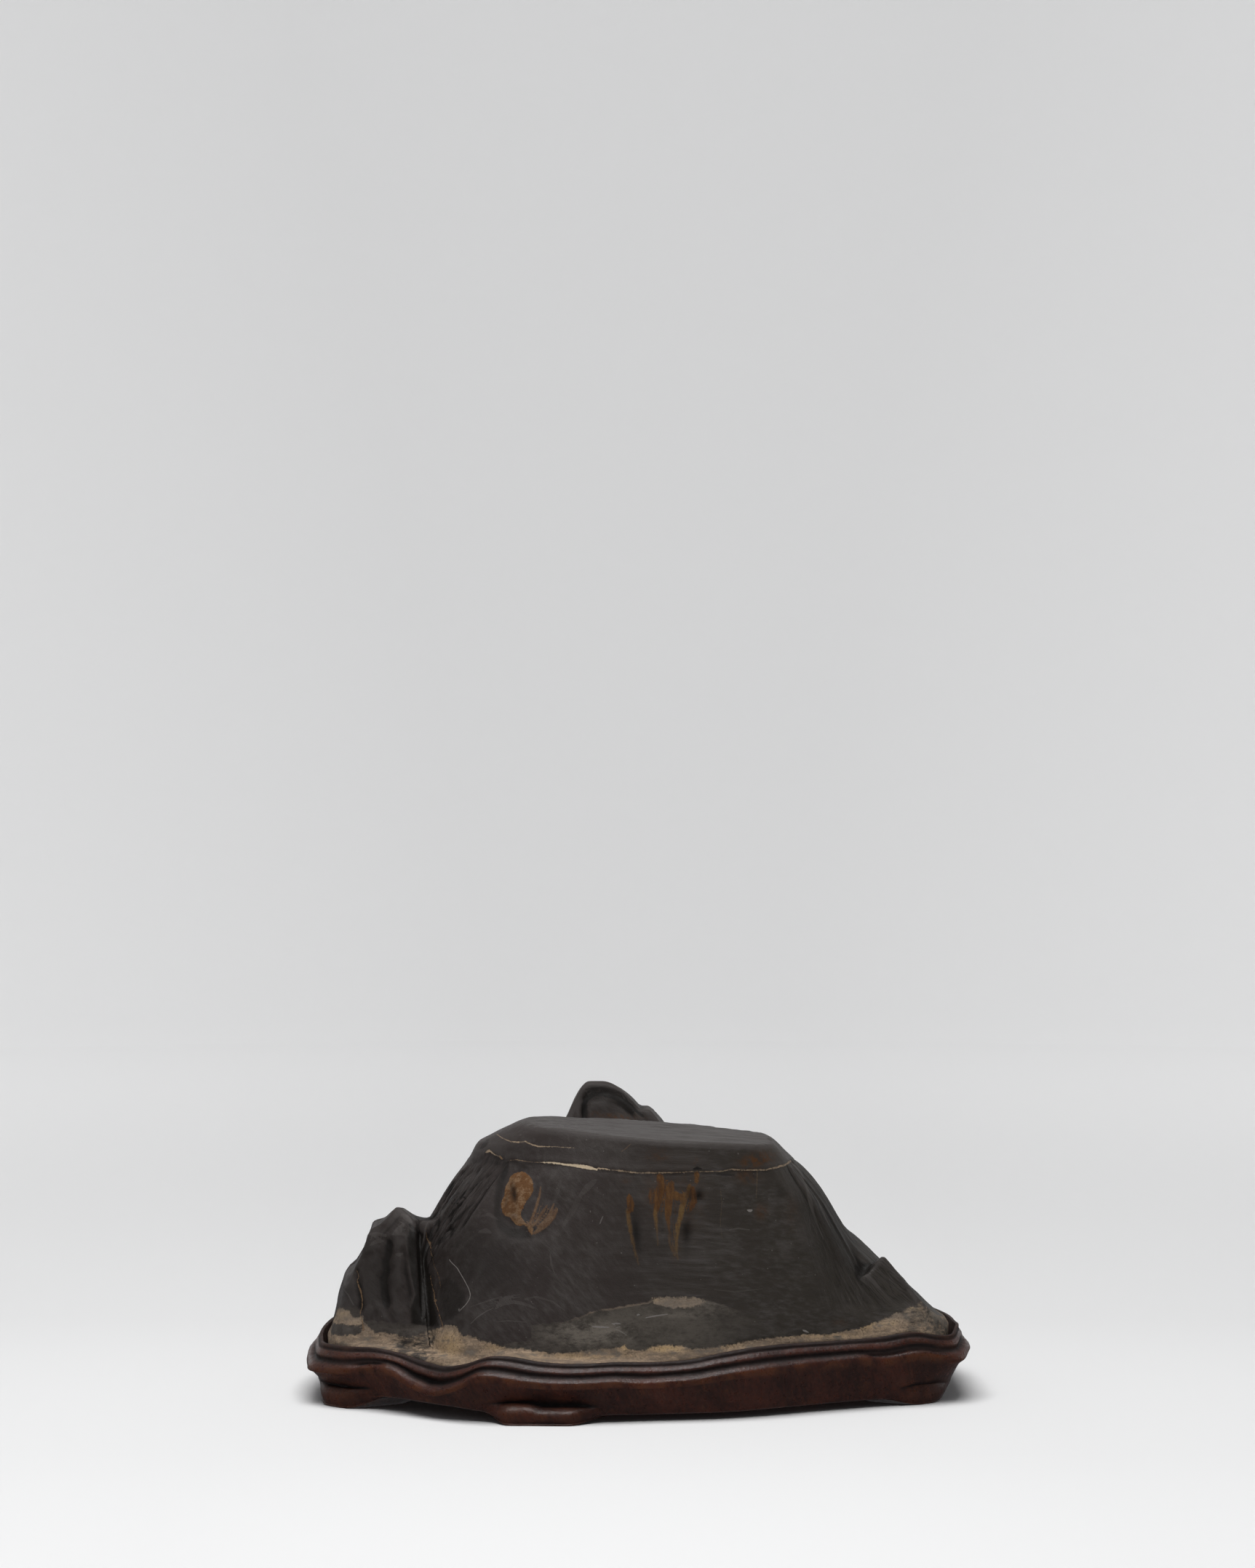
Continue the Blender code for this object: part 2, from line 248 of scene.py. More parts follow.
def inside(outline: Points, u: Array, v: Array) -> Array:
    """Depth inside a closed outline in the picture plane, negative outside it."""
    within = np.zeros(u.shape, bool)
    closed = (*outline, outline[0])
    for a, b in zip(closed, closed[1:]):
        slant = (b[0] - a[0]) / ((b[1] - a[1]) or 1e-9)
        within ^= ((a[1] > v) != (b[1] > v)) & (u < slant * (v - a[1]) + a[0])
    away = np.abs(beside(closed, u, v)[0])
    return np.where(within, away, -away)


# --- The stone's form ----------------------------------------------------------------------------
@dataclass(frozen=True)
class Face:
    """A natural face: a plan point, the height there, and the rise to the right and to the back."""

    at: tuple[float, float]
    level: float
    rise: tuple[float, float]

    def over(self, x: Array, y: Array) -> Array:
        """Height of the face over a plan point."""
        return self.level + self.rise[0] * (x - self.at[0]) + self.rise[1] * (y - self.at[1])


@dataclass(frozen=True)
class StoneForm:
    """The stone's shape as a height over the plan, put together from its natural masses."""

    centre: tuple[float, float] = (0.0, -5.0)
    bottom: float = 9.5
    plateau_height: float = 91.0
    plateau_tilt: float = 0.07
    vein_height: float = 80.5
    foot_height: float = 20.0
    peak_height: float = 100.8
    crag_height: float = 66.5
    brow_height: float = 57.0
    shoulder_height: float = 49.5
    rear_height: float = 74.0
    top_centre: tuple[float, float] = (4.0, -22.0)
    # The crag's outline against the sky, left to right: X and height.
    crag_outline: Points = (
        (-108.5, 19.5), (-107.1, 21.0), (-105.4, 24.4), (-103.6, 32.8), (-101.6, 40.4), (-99.7, 43.0),
        (-97.9, 44.2), (-94.7, 50.0), (-91.6, 58.2), (-88.2, 59.8), (-82.8, 65.6), (-80.8, 65.4),
        (-76.4, 60.9), (-74.5, 60.2), (-68, 60.2),
    )
    # Seat outline round the stone: x, y and the height of the stand's rim there.
    rim_outline: tuple[tuple[float, float, float], ...] = (
        (-106.5, -36, 20.8), (-104, -48, 20.6), (-97, -55, 20.7), (-88, -59, 20.9),
        (-80, -63, 20.0), (-70, -70, 18.1), (-63, -75, 17.4), (-56, -79, 19.0),
        (-48, -81.5, 21.8), (-42, -82.4, 21.9), (-33, -82.5, 20.3), (-20, -82.5, 19.5),
        (-8, -80.5, 19.7), (6, -78, 19.4), (18, -76.4, 20.1), (26, -75, 21.6),
        (38, -71.3, 23.1), (50, -66.2, 23.5), (66, -59.6, 23.4), (81, -54.2, 23.8),
        (93, -51, 24.9), (99, -48.5, 23.6), (104, -44, 23.0), (106.5, -37, 24.6),
        (107.2, -20, 24.0), (105, 12, 22.5), (90, 45, 23.5), (62, 69, 21.5), (25, 81.1, 23.0),
        (-15, 82.6, 21.0), (-52, 73, 22.5), (-82, 50, 21.0), (-100, 18, 22.5), (-107, -15, 21.5),
    )
    top_outline: Points = (
        (-40, -18), (-35, -38), (-14, -52.5), (4, -57), (21, -58), (35, -54.5), (45, -44),
        (46, -26), (43, -6), (30, 5), (6, 8), (-18, 7), (-33, 0),
    )
    foot_outline: Points = (
        (-84, -12), (-81, -40), (-68, -62), (-50, -78), (-20, -83), (6, -79), (26, -75),
        (50, -67), (75, -57), (88, -48), (92, -36), (93, -15), (89, 15), (75, 38), (45, 50),
        (0, 50), (-45, 45), (-72, 20),
    )
    crag_inner: Face = Face((-75.2, -40), 58.0, (-7.0, 0))
    crag_front: Face = Face((-90, -56), 21.0, (0.90, 3.0))
    crag_brow: Face = Face((-81.5, -46.5), brow_height, (0.48, 1.6))
    crag_back: Face = Face((-81.5, -40), crag_height + 1.0, (0, -0.36))
    cleft_floor: Face = Face((-72.5, -66), 19.0, (0, 1.2))
    shoulder_front: Face = Face((84, -53.5), 22.0, (-0.26, 2.6))
    shoulder_back: Face = Face((84, -40), shoulder_height, (0, -1.6))
    shoulder_inner: Face = Face((84, -45), shoulder_height, (0.9, 0))
    shoulder_outer: Face = Face((84, -45), shoulder_height, (-1.17, 0))
    ledge_top: Face = Face((80.7, -12), 49.2, (-0.8, 0))
    ledge_outer: Face = Face((82, -12), 48.6, (-1.15, 0))
    ledge_inner: Face = Face((67, -12), 52.0, (2.5, 0))
    ledge_front: Face = Face((82, -38), 48.0, (0, 2.0))
    peak_left: Face = Face((-20.6, 54), peak_height, (2.5, 0))
    peak_right: Face = Face((-7.2, 54), peak_height, (-1.15, 0))
    peak_knee: Face = Face((5, 54), 91.0, (-1.25, 0))
    peak_front: Face = Face((-12, 51), peak_height, (0, 3.2))
    peak_back: Face = Face((-12, 60), peak_height, (0, -2.2))
    rear_front: Face = Face((-12, 42), 70.0, (0, 1.2))

    def reach(self, azimuth: Array) -> Array:
        """Radius of the stone's foot in its seat."""
        return radius(self.rim_outline, self.centre, azimuth)

    def rim(self, azimuth: Array) -> Array:
        """Height of the stand's rim beside the stone."""
        return around(self.rim_outline, [p[2] for p in self.rim_outline], self.centre, azimuth)

    @staticmethod
    def by_side(azimuth: Array, left: float, right: float, front: float, back: float) -> Array:
        """A value that changes smoothly round the four sides."""
        c, s = np.cos(azimuth), np.sin(azimuth)
        across = left * np.clip(-c, 0, 1) ** 2 + right * np.clip(c, 0, 1) ** 2
        along = front * np.clip(-s, 0, 1) ** 2 + back * np.clip(s, 0, 1) ** 2
        return across + along

    def main_mass(self, x: Array, y: Array) -> Array:
        """The flat top, its bevelled cap and the steep sides below the vein."""
        distance, azimuth = polar(x, y, self.top_centre)
        top_edge = radius(self.top_outline, self.top_centre, azimuth)
        foot = radius(self.foot_outline, self.top_centre, azimuth)
        plateau = self.plateau_height - self.plateau_tilt * x
        cap_slope = self.by_side(azimuth, left=0.57, right=0.9, front=3.6, back=0.6)
        cap = plateau - cap_slope * (distance - top_edge)
        vein = top_edge + (self.plateau_height - self.vein_height) / cap_slope
        bulge = self.by_side(azimuth, left=0.55, right=1.0, front=0.9, back=0.9)
        climb = np.clip((foot - distance) / (foot - vein), 0, None)
        rise = self.vein_height - self.foot_height
        side = self.foot_height + rise * np.where(climb < 1, climb ** bulge, climb)
        return smooth_min(smooth_min(side, cap, 2.0), plateau, 1.2)

    def crag(self, x: Array, y: Array) -> Array:
        """The crag on the left: a pointed slab with a steep front under a leaning brow."""
        crest = read(self.crag_outline, x)
        saddle = 6.0 * np.clip(y + 40, 0, 20)
        slab = smooth_min(crest, self.crag_inner.over(x, y) + saddle, 2.0)
        front = smooth_min(self.crag_front.over(x, y), self.crag_brow.over(x, y), 1.2)
        return smooth_min(smooth_min(slab, front, 1.2), self.crag_back.over(x, y), 2.5)

    def cleft(self, x: Array, y: Array) -> Array:
        """The deep cleft beside the crag, as the height that it is cut down to."""
        across = x + 72.5 + 0.10 * (y + 62)
        return self.cleft_floor.over(x, y) + np.where(across > 0, 2.0 * across, -9.0 * across)

    def shoulder(self, x: Array, y: Array) -> Array:
        """The low pointed shoulder on the right, in line with the front face."""
        crest = smooth_min(self.shoulder_inner.over(x, y), self.shoulder_outer.over(x, y), 2.0)
        slab = smooth_min(self.shoulder_front.over(x, y), self.shoulder_back.over(x, y), 3.0)
        return smooth_min(crest, slab, 2.0)

    def ledge(self, x: Array, y: Array) -> Array:
        """The shelf behind the shoulder, which runs down from the right flank."""
        crest = smooth_min(self.ledge_top.over(x, y), self.ledge_outer.over(x, y), 2.0)
        shelf = smooth_min(crest, self.ledge_inner.over(x, y), 2.0) - 0.12 * np.abs(y + 12)
        return smooth_min(shelf, self.ledge_front.over(x, y), 4.0)

    def far_peak(self, x: Array, y: Array) -> Array:
        """The small peak that stands behind the flat top."""
        knee = smooth_min(self.peak_knee.level, self.peak_knee.over(x, y), 1.5)
        right = smooth_max(self.peak_right.over(x, y), knee, 1.0)
        crest = smooth_min(self.peak_left.over(x, y), right, 3.0)
        crest = smooth_min(crest, self.peak_height + 0.6 - 0.25 * np.abs(y - 54), 7.0)
        depth = smooth_min(self.peak_front.over(x, y), self.peak_back.over(x, y), 3.0)
        return smooth_min(crest, depth, 2.5)

    def rear_slope(self, x: Array, y: Array, inward: Array) -> Array:
        """The long slopes under the far peak, down to the back of the seat."""
        crest = self.rear_height - 0.5 * np.abs(x + 12)
        return smooth_min(smooth_min(crest, self.rear_front.over(x, y), 6.0), 24 + 2.4 * inward, 6.0)

    def height(self, x: Array, y: Array) -> Array:
        """Height of the stone's surface over the plan point."""
        distance, azimuth = polar(x, y, self.centre)
        inward = self.reach(azimuth) - distance
        rim = self.rim(azimuth)
        height = smooth_max(self.main_mass(x, y), self.crag(x, y), 1.5)
        cut = ease(-14, -30, y)
        height = height * (1 - cut) + smooth_min(height, self.cleft(x, y), 2.0) * cut
        height = smooth_max(height, self.ledge(x, y), 3.0)
        shoulder = self.shoulder(x, y)
        height = smooth_max(height, shoulder, 1.5 + 0.9 * np.clip(44 - shoulder, 0, 24))
        height = smooth_max(height, self.far_peak(x, y), 5.0)
        height = smooth_max(height, self.rear_slope(x, y, inward), 8.0)
        height = smooth_max(height, rim, 3.0)
        return smooth_min(height, rim + 3.4 * inward, 2.0)

    def surface(self, azimuths: int, rings: int) -> Array:
        """Points of the stone's skin, from the middle of its top out and under to its base.

        Args:
            azimuths: Points round each ring.
            rings: Rings on the part above the seat.

        Returns:
            Ring by ring, the points round it, with the first azimuth once more at the end.
        """
        fine = np.linspace(-math.pi, math.pi, 2001) + math.pi / 2
        crowd = np.cumsum(1.0 + 1.1 * ease(0.25, -0.35, np.sin(fine)))
        crowd = (crowd - crowd[0]) / (crowd[-1] - crowd[0])
        azimuth = np.interp(np.linspace(0, 1, azimuths + 1), crowd, fine)
        reach, rim = self.reach(azimuth), self.rim(azimuth)
        distance = np.linspace(0, 1, 600)[:, None] * reach
        height = self.height(*self.plan(azimuth, distance))
        out, up = np.diff(distance, axis=0), np.diff(height, axis=0)
        steep = np.clip(np.abs(up) / out / 0.6, 0, 1)
        weight = np.hypot(out, up) * (0.42 + 0.58 * steep) + 0.25 * out
        length = np.vstack([np.zeros_like(azimuth), np.cumsum(weight, axis=0)])
        share = np.linspace(0, 1, rings + 1)
        along, upward = (
            np.array([np.interp(share * run[-1], run, column) for run, column in zip(length.T, grid.T)]).T
            for grid in (distance, height))
        under = ((0.3, 14.0), (1.0, 11.3), (3.0, self.bottom), (40.0, self.bottom))
        along = np.vstack([along] + [reach - inset for inset, _ in under] + [0 * reach])
        levels = [np.full_like(reach, level) for _, level in under]
        upward = np.vstack([upward] + levels + [np.full_like(reach, self.bottom)])
        x, y = self.plan(azimuth, along)
        return stack(x, y, upward)

    def plan(self, azimuth: Array, distance: Array) -> tuple[Array, Array]:
        """Plan point at an azimuth and distance about the centre."""
        x = self.centre[0] + distance * np.cos(azimuth)
        return x, self.centre[1] + distance * np.sin(azimuth)


def normals_of(points: Array) -> Array:
    """Unit normals of a wrapped grid of points, ring by ring, that point out of the body."""
    wrapped = np.concatenate([points[:, -2:-1], points, points[:, 1:2]], axis=1)
    around_ring = wrapped[:, 2:] - wrapped[:, :-2]
    outward = np.gradient(points, axis=0)
    normal = np.cross(outward, around_ring)
    return normal / np.maximum(np.linalg.norm(normal, axis=-1, keepdims=True), 1e-9)


# --- Markings laid out in the picture plane --------------------------------------------------------
@dataclass(frozen=True)
class Line:
    """A narrow mark: its course, its half width in millimetres along it, and how strong it is."""

    course: Points
    half: tuple[float, ...]
    tone: float = 1.0


@dataclass(frozen=True)
class Fold:
    """A ridge or groove along a line of the picture plane, in millimetres.

    With a reach it is a step instead: full height just left of the line as it runs, none on the
    right, and dying out over the reach.
    """

    course: Points
    height: float
    width: float
    reach: float = 0.0


def line_field(lines: Sequence[Line], u: Array, v: Array, shown: Array) -> Array:
    """Lays out narrow marks for the material to draw.

    Args:
        lines: The marks.
        u: Picture coordinate across of each point of the skin.
        v: Picture coordinate down.
        shown: 1 where the marks may be drawn, 0 where they may not.

    Returns:
        For each point its signed distance from the nearest mark, that mark's half width there, and
        its strength.
    """
    best = np.full(u.shape, -np.inf)
    field = np.zeros(u.shape + (3,))
    for line in lines:
        signed, share = beside(line.course, u, v)
        signed = signed * VIEW.unit
        away = np.abs(signed)
        half = np.interp(share, np.linspace(0, 1, len(line.half)), line.half)
        past_end = (share <= 0) | (share >= 1)
        half = half - np.where(past_end, 0.8 * away, 0) - 0.6 * np.clip(away - 1.0, 0, None)
        closer = half - away > best
        best = np.where(closer, half - away, best)
        here = stack(np.clip(signed, -3, 3), np.clip(half, -2, None), line.tone)
        field = np.where(closer[..., None], here, field)
    field[..., 1] = np.where(shown > 0.5, field[..., 1], -2)
    return field


def patch_depth(outlines: Sequence[Points], u: Array, v: Array, shown: Array) -> Array:
    """Depth in millimetres inside the nearest of some closed patches, negative outside them."""
    depth = np.max([inside(outline, u, v) for outline in outlines], axis=0) * VIEW.unit
    return np.where(shown > 0.5, np.clip(depth, -6, 6), -6)


def spots(rows: Spots, u: Array, v: Array) -> Array:
    """Soft round or oval spots in the picture plane, added up."""
    total = np.zeros(u.shape)
    for place, size, strength, *turn in rows:
        angle = math.radians(turn[0]) if turn else 0.0
        c, s = math.cos(angle), math.sin(angle)
        du, dv = u - place[0], v - place[1]
        total += strength * np.exp(-((du * c + dv * s) / size[0]) ** 2 - ((dv * c - du * s) / size[1]) ** 2)
    return total


class Marks:
    """Where the stone's markings lie, in picture coordinates."""

    CAP_VEIN: Points = (
        (682, 1559), (690, 1565), (702, 1570), (713, 1571), (722, 1570), (732, 1574.5),
        (742, 1577), (761, 1577), (780, 1578), (792, 1579),
    )
    MAIN_VEIN: Points = (
        (669, 1585), (673, 1582), (679, 1587), (690, 1592), (698, 1595.6), (709, 1594.6),
        (732, 1598), (744, 1598.4), (761, 1599), (780, 1601.5), (800, 1603), (816, 1606),
        (828, 1608), (841, 1609), (858, 1610.6), (876, 1613), (894, 1613), (916, 1612.4),
        (939, 1612), (956, 1611), (974, 1611), (992, 1610.6), (1005, 1608), (1023, 1609),
        (1050, 1609), (1064, 1606), (1079, 1602), (1086, 1597),
    )
    VEINS: tuple[Line, ...] = (
        Line(CAP_VEIN, (0.06, 0.14, 0.20, 0.22, 0.12, 0.09, 0.03), 0.36),
        Line(MAIN_VEIN[:4], (0.34, 0.22, 0.05), 0.42),
        Line(((686, 1589.5), (690, 1593)), (0.36, 0.3), 0.25),
        Line(MAIN_VEIN[4:8], (0.06, 0.14, 0.06, 0.10), 0.2),
        Line(((742, 1598.2), (761, 1599), (780, 1601.5), (800, 1604), (812, 1606), (821, 1608.5)),
             (0.08, 0.22, 0.24, 0.38, 0.56, 0.30), 1.0),
        Line(((819, 1606.5), (828, 1607), (839, 1608.8)), (0.2, 0.24, 0.10), 0.55),
        Line(MAIN_VEIN[13:17], (0.16, 0.24, 0.16, 0.26), 0.36),
        Line(MAIN_VEIN[16:21], (0.20, 0.14, 0.08, 0.12), 0.24),
        Line(MAIN_VEIN[20:24], (0.08, 0.17, 0.13, 0.18), 0.28),
        Line(MAIN_VEIN[23:], (0.15, 0.17, 0.24, 0.32), 0.34),
    )
    CRACKS: tuple[Line, ...] = (
        Line(((487, 1743), (493, 1754), (490, 1761), (493, 1769), (496, 1776), (498, 1788),
              (497, 1798), (494.5, 1806), (497.5, 1815), (499.5, 1830)),
             (0.05, 0.11, 0.13, 0.32, 0.22, 0.12, 0.09, 0.18, 0.4), 0.65),
        Line(((585.5, 1686), (587, 1697), (590, 1708.6), (591, 1717), (593.5, 1726), (596, 1739)),
             (0.14, 0.05, 0.15, 0.16, 0.08, 0.04), 0.6),
        Line(((596, 1739), (601.5, 1750), (604, 1760), (605.5, 1772)), (0.06, 0.12, 0.08), 0.3),
        Line(((590.3, 1752), (592.7, 1766), (596, 1779), (596.7, 1790), (600, 1797), (603, 1807.5),
              (607, 1820), (607.5, 1827)), (0.06, 0.08, 0.10, 0.06, 0.06, 0.12, 0.26), 0.75),
        Line(((596.7, 1788), (600, 1787.5)), (0.3, 0.2), 0.7),
        Line(((990, 1633), (992, 1655), (990, 1680), (993, 1704)), (0.08, 0.14, 0.1, 0.06), 0.14),
        Line(((1041, 1610), (1040, 1630), (1039, 1651)), (0.22, 0.14, 0.07), 0.2),
        Line(((688, 1591), (689, 1593)), (0.45, 0.35), 1.0),
        Line(((854, 1584), (862, 1578), (868, 1572)), (0.15, 0.25, 0.1), 0.2),
    )
    THREAD: Points = (
        (616.6, 1730.6), (620.5, 1735.7), (628.5, 1743.7), (633.3, 1751.7), (638.9, 1762),
        (643.7, 1770.8), (646.4, 1778.8), (645.3, 1786), (640.5, 1793), (634, 1799.5),
        (629, 1804.5),
    )
    # Scratches, a dust fibre, and painted glints on the crag's edges.
    SCRATCHES_AND_GLINTS: tuple[Line, ...] = (
        Line(THREAD, (0.11, 0.13, 0.12, 0.11, 0.12, 0.09), 0.85),
        Line(((629.4, 1799), (631, 1803)), (0.10, 0.08), 0.6),
        Line(((818, 1623), (807, 1633), (797, 1644)), (0.8, 1.3, 0.5), 0.09),
        Line(((797, 1644), (788, 1663), (780, 1676), (774, 1686)), (0.9, 1.2, 0.4), 0.05),
        Line(((771, 1623), (764, 1642), (762, 1652)), (0.4, 0.9, 0.2), 0.05),
        Line(((829, 1672), (826, 1678), (824, 1684)), (0.15, 0.24, 0.15), 0.4),
        Line(((811, 1664), (811.5, 1667)), (0.2, 0.25), 0.5),
        Line(((756, 1722), (758, 1740), (763, 1752)), (0.2, 0.4, 0.1), 0.12),
        Line(((680, 1800), (692, 1793), (706, 1790), (722, 1793), (735, 1799)), (0.2, 0.6, 0.6, 0.3), 0.12),
        Line(((683, 1795), (695, 1786), (705, 1783)), (0.4, 0.8, 0.3), 0.13),
        Line(((647, 1820), (655, 1812), (668, 1803), (679, 1798)), (0.1, 0.2, 0.08), 0.2),
        Line(((646, 1797), (666, 1790), (690, 1783), (716, 1780)), (0.1, 0.3, 0.3, 0.1), 0.10),
        Line(((720, 1786), (738, 1783), (760, 1790), (778, 1803)), (0.1, 0.4, 0.3, 0.1), 0.10),
        Line(((684, 1817), (700, 1816), (722, 1818)), (0.1, 0.3, 0.1), 0.12),
        Line(((659, 1694), (668, 1692), (675, 1695)), (0.5, 0.9, 0.3), 0.10),
        Line(((662, 1672), (672, 1669), (684, 1677)), (0.3, 0.6, 0.2), 0.08),
        Line(((1027, 1663.5), (1031, 1665), (1034, 1664)), (0.25, 0.45, 0.25), 2.2),
        Line(((1002, 1691), (1014, 1689), (1031, 1691)), (0.2, 0.3, 0.2), 0.16),
        Line(((980, 1773), (1010, 1776), (1050, 1772)), (0.1, 0.3, 0.1), 0.10),
        Line(((1104, 1829), (1111, 1832)), (0.3, 0.25), 1.6),
        Line(((1115, 1837), (1122, 1838)), (0.3, 0.2), 1.6),
        Line(((814, 1824), (824, 1824.5), (838, 1825)), (0.2, 0.32, 0.2), 1.0),
        Line(((840, 1820), (847, 1819.5), (854, 1820.5)), (0.1, 0.25, 0.1), 0.9),
        Line(((887, 1812), (897, 1810), (906, 1808.5), (918, 1807)), (0.15, 0.25, 0.2, 0.1), 0.9),
        Line(((876, 1807.5), (879, 1808)), (0.3, 0.25), 1.2),
        Line(((842, 1826), (852, 1830), (862, 1836)), (0.1, 0.2, 0.1), 0.5),
        # Painted glints along the crag's wing, brow and gable edges.
        Line(((466, 1763), (478, 1779), (487, 1796)), (0.2, 0.3, 0.2), 0.22),
        Line(((505, 1697), (518, 1697), (532, 1698.5)), (0.3, 0.7, 0.3), 0.12),
        Line(((509, 1713), (517, 1707), (529, 1706)), (0.3, 0.8, 0.3), 0.10),
        Line(((541, 1698), (549, 1690), (556, 1684.5)), (0.4, 0.8, 0.5), 0.14),
        Line(((541, 1699), (549, 1696), (558, 1699)), (0.3, 0.7, 0.3), 0.08),
        Line(((551, 1669), (558, 1675), (566, 1683)), (0.4, 0.8, 0.3), 0.14),
        Line(((543, 1724), (549, 1726), (556, 1723)), (0.2, 0.7, 0.2), 0.08),
        Line(((1086, 1595), (1100, 1612), (1110, 1640), (1122, 1675), (1134, 1705)),
             (0.5, 0.4, 0.35, 0.3, 0.1), 0.16),
        Line(((1118, 1640), (1128, 1662), (1141, 1690)), (0.1, 0.3, 0.1), 0.18),
    )
    # Painted shade in slits and folds: dark lines drawn over the relief where shade falls in them.
    SLITS: tuple[Line, ...] = (
        Line(((803, 1498), (815, 1495.5), (830, 1497), (845, 1500), (858, 1505)),
             (0.1, 0.5, 0.6, 0.3), 0.55),
        Line(((801, 1536), (802, 1519), (807, 1510), (816, 1504), (830, 1504), (845, 1508), (860, 1515),
              (874, 1525), (884, 1535)), (0.5, 0.8, 0.9, 0.8, 0.9, 0.9, 0.7, 0.5), 0.8),
        Line(((846, 1512), (858, 1518), (868, 1528)), (0.3, 1.4, 1.6), 0.55),
        Line(((648, 1632), (640, 1641), (630, 1650), (620, 1658)), (0.1, 0.45, 0.3, 0.05), 0.9),
        Line(((642, 1648), (628, 1661), (616, 1673), (606, 1684)), (0.1, 0.35, 0.4, 0.1), 0.9),
        Line(((655, 1650), (640, 1664), (625, 1680), (610, 1698)), (0.05, 0.3, 0.3, 0.1), 0.7),
        Line(((626, 1618), (619, 1632), (611, 1645)), (0.1, 0.35, 0.1), 0.9),
        Line(((632, 1638), (624, 1647), (614, 1657), (607, 1667)), (0.1, 0.3, 0.3, 0.1), 0.8),
        Line(((672, 1568), (667, 1574), (661, 1580)), (0.3, 0.9, 0.2), 0.6),
        Line(((698, 1602), (694, 1612), (690, 1622)), (0.4, 0.8, 0.5), 0.5),
        Line(((614, 1700), (606, 1706), (600, 1712)), (0.2, 1.2, 0.3), 0.5),
        Line(((524, 1700), (538, 1687), (549, 1674)), (0.1, 0.35, 0.3), 0.4),
        Line(((562, 1684), (572, 1693), (580, 1698)), (0.3, 0.6, 0.3), 0.6),
        Line(((985, 1614.5), (998, 1615.5), (1010, 1615.5)), (0.2, 0.5, 0.2), 0.5),
        Line(((952, 1608), (958, 1606.5), (964, 1607.5)), (0.2, 0.55, 0.2), 0.85),
        Line(((1098, 1606), (1110, 1626), (1120, 1650), (1133, 1682)), (0.2, 0.4, 0.4, 0.1), 0.5),
        Line(((1124, 1640), (1134, 1660), (1146, 1686), (1160, 1706)), (0.1, 0.4, 0.4, 0.1), 0.5),
        Line(((1206, 1729), (1199, 1738), (1191, 1752)), (0.2, 0.7, 0.3), 0.55),
    )
    FINGERS: tuple[Line, ...] = (
        Line(((742.5, 1631), (741, 1644), (737.5, 1656), (734, 1667), (730, 1678), (726, 1685)),
             (0.12, 0.36, 0.42, 0.46, 0.40, 0.5), 0.8),
        Line(((752, 1656), (747, 1664), (741, 1673), (735, 1683)), (0.2, 0.45, 0.52, 0.4), 0.6),
        Line(((761, 1654), (758, 1663), (753, 1673), (746, 1681), (738, 1688)),
             (0.2, 0.45, 0.6, 0.55, 0.4), 0.65),
        Line(((766, 1662), (760, 1673), (752, 1682), (742, 1690), (732, 1697)),
             (0.3, 0.7, 0.85, 0.75, 0.35), 0.72),
        Line(((722, 1684), (729, 1686), (737, 1682)), (0.5, 0.6, 0.35), 0.8),
    )
    TAN: Points = (
        (700, 1616), (704, 1614), (708, 1611), (715, 1610), (721, 1611), (727, 1616), (730.5, 1621),
         (732, 1628), (732.5, 1635), (730.5, 1641.5), (725.5, 1648), (721, 1654), (719, 1660),
         (715.5, 1665), (715, 1671), (719, 1677), (723, 1682), (728, 1685), (733, 1688),
         (731.5, 1699), (727.5, 1694), (724, 1686.5), (719, 1683.5), (714, 1685.5), (709, 1683.5),
         (704, 1678.5), (700.8, 1673), (694, 1671), (690, 1667), (689, 1661), (687.6, 1656),
        (688.6, 1650), (691.6, 1644), (692.6, 1635.5), (694, 1629), (698, 1623),
    )
    # Browner parts of the tan lining, and paler ones, which are negative.
    TAN_BROWN: Spots = (
        ((719, 1628), (7, 7), 0.55), ((701, 1656), (8, 7), 0.9), ((714, 1660), (4, 6), 0.3),
        ((697, 1627), (3, 7), -0.8), ((706, 1671), (10, 3.5), -0.9), ((717, 1679), (6, 4), -0.9),
        ((729, 1622), (3, 9), -0.4), ((690, 1650), (2, 8), -0.5), ((732, 1690), (6, 5), -0.5),
    )
    HOLLOW: Points = (
        (697, 1601), (690, 1612), (683, 1630), (680, 1650), (680, 1672), (686, 1688), (700, 1698),
        (722, 1703), (745, 1700), (762, 1690), (773, 1672), (772, 1652), (758, 1636), (744, 1622),
        (733, 1608), (715, 1601),
    )
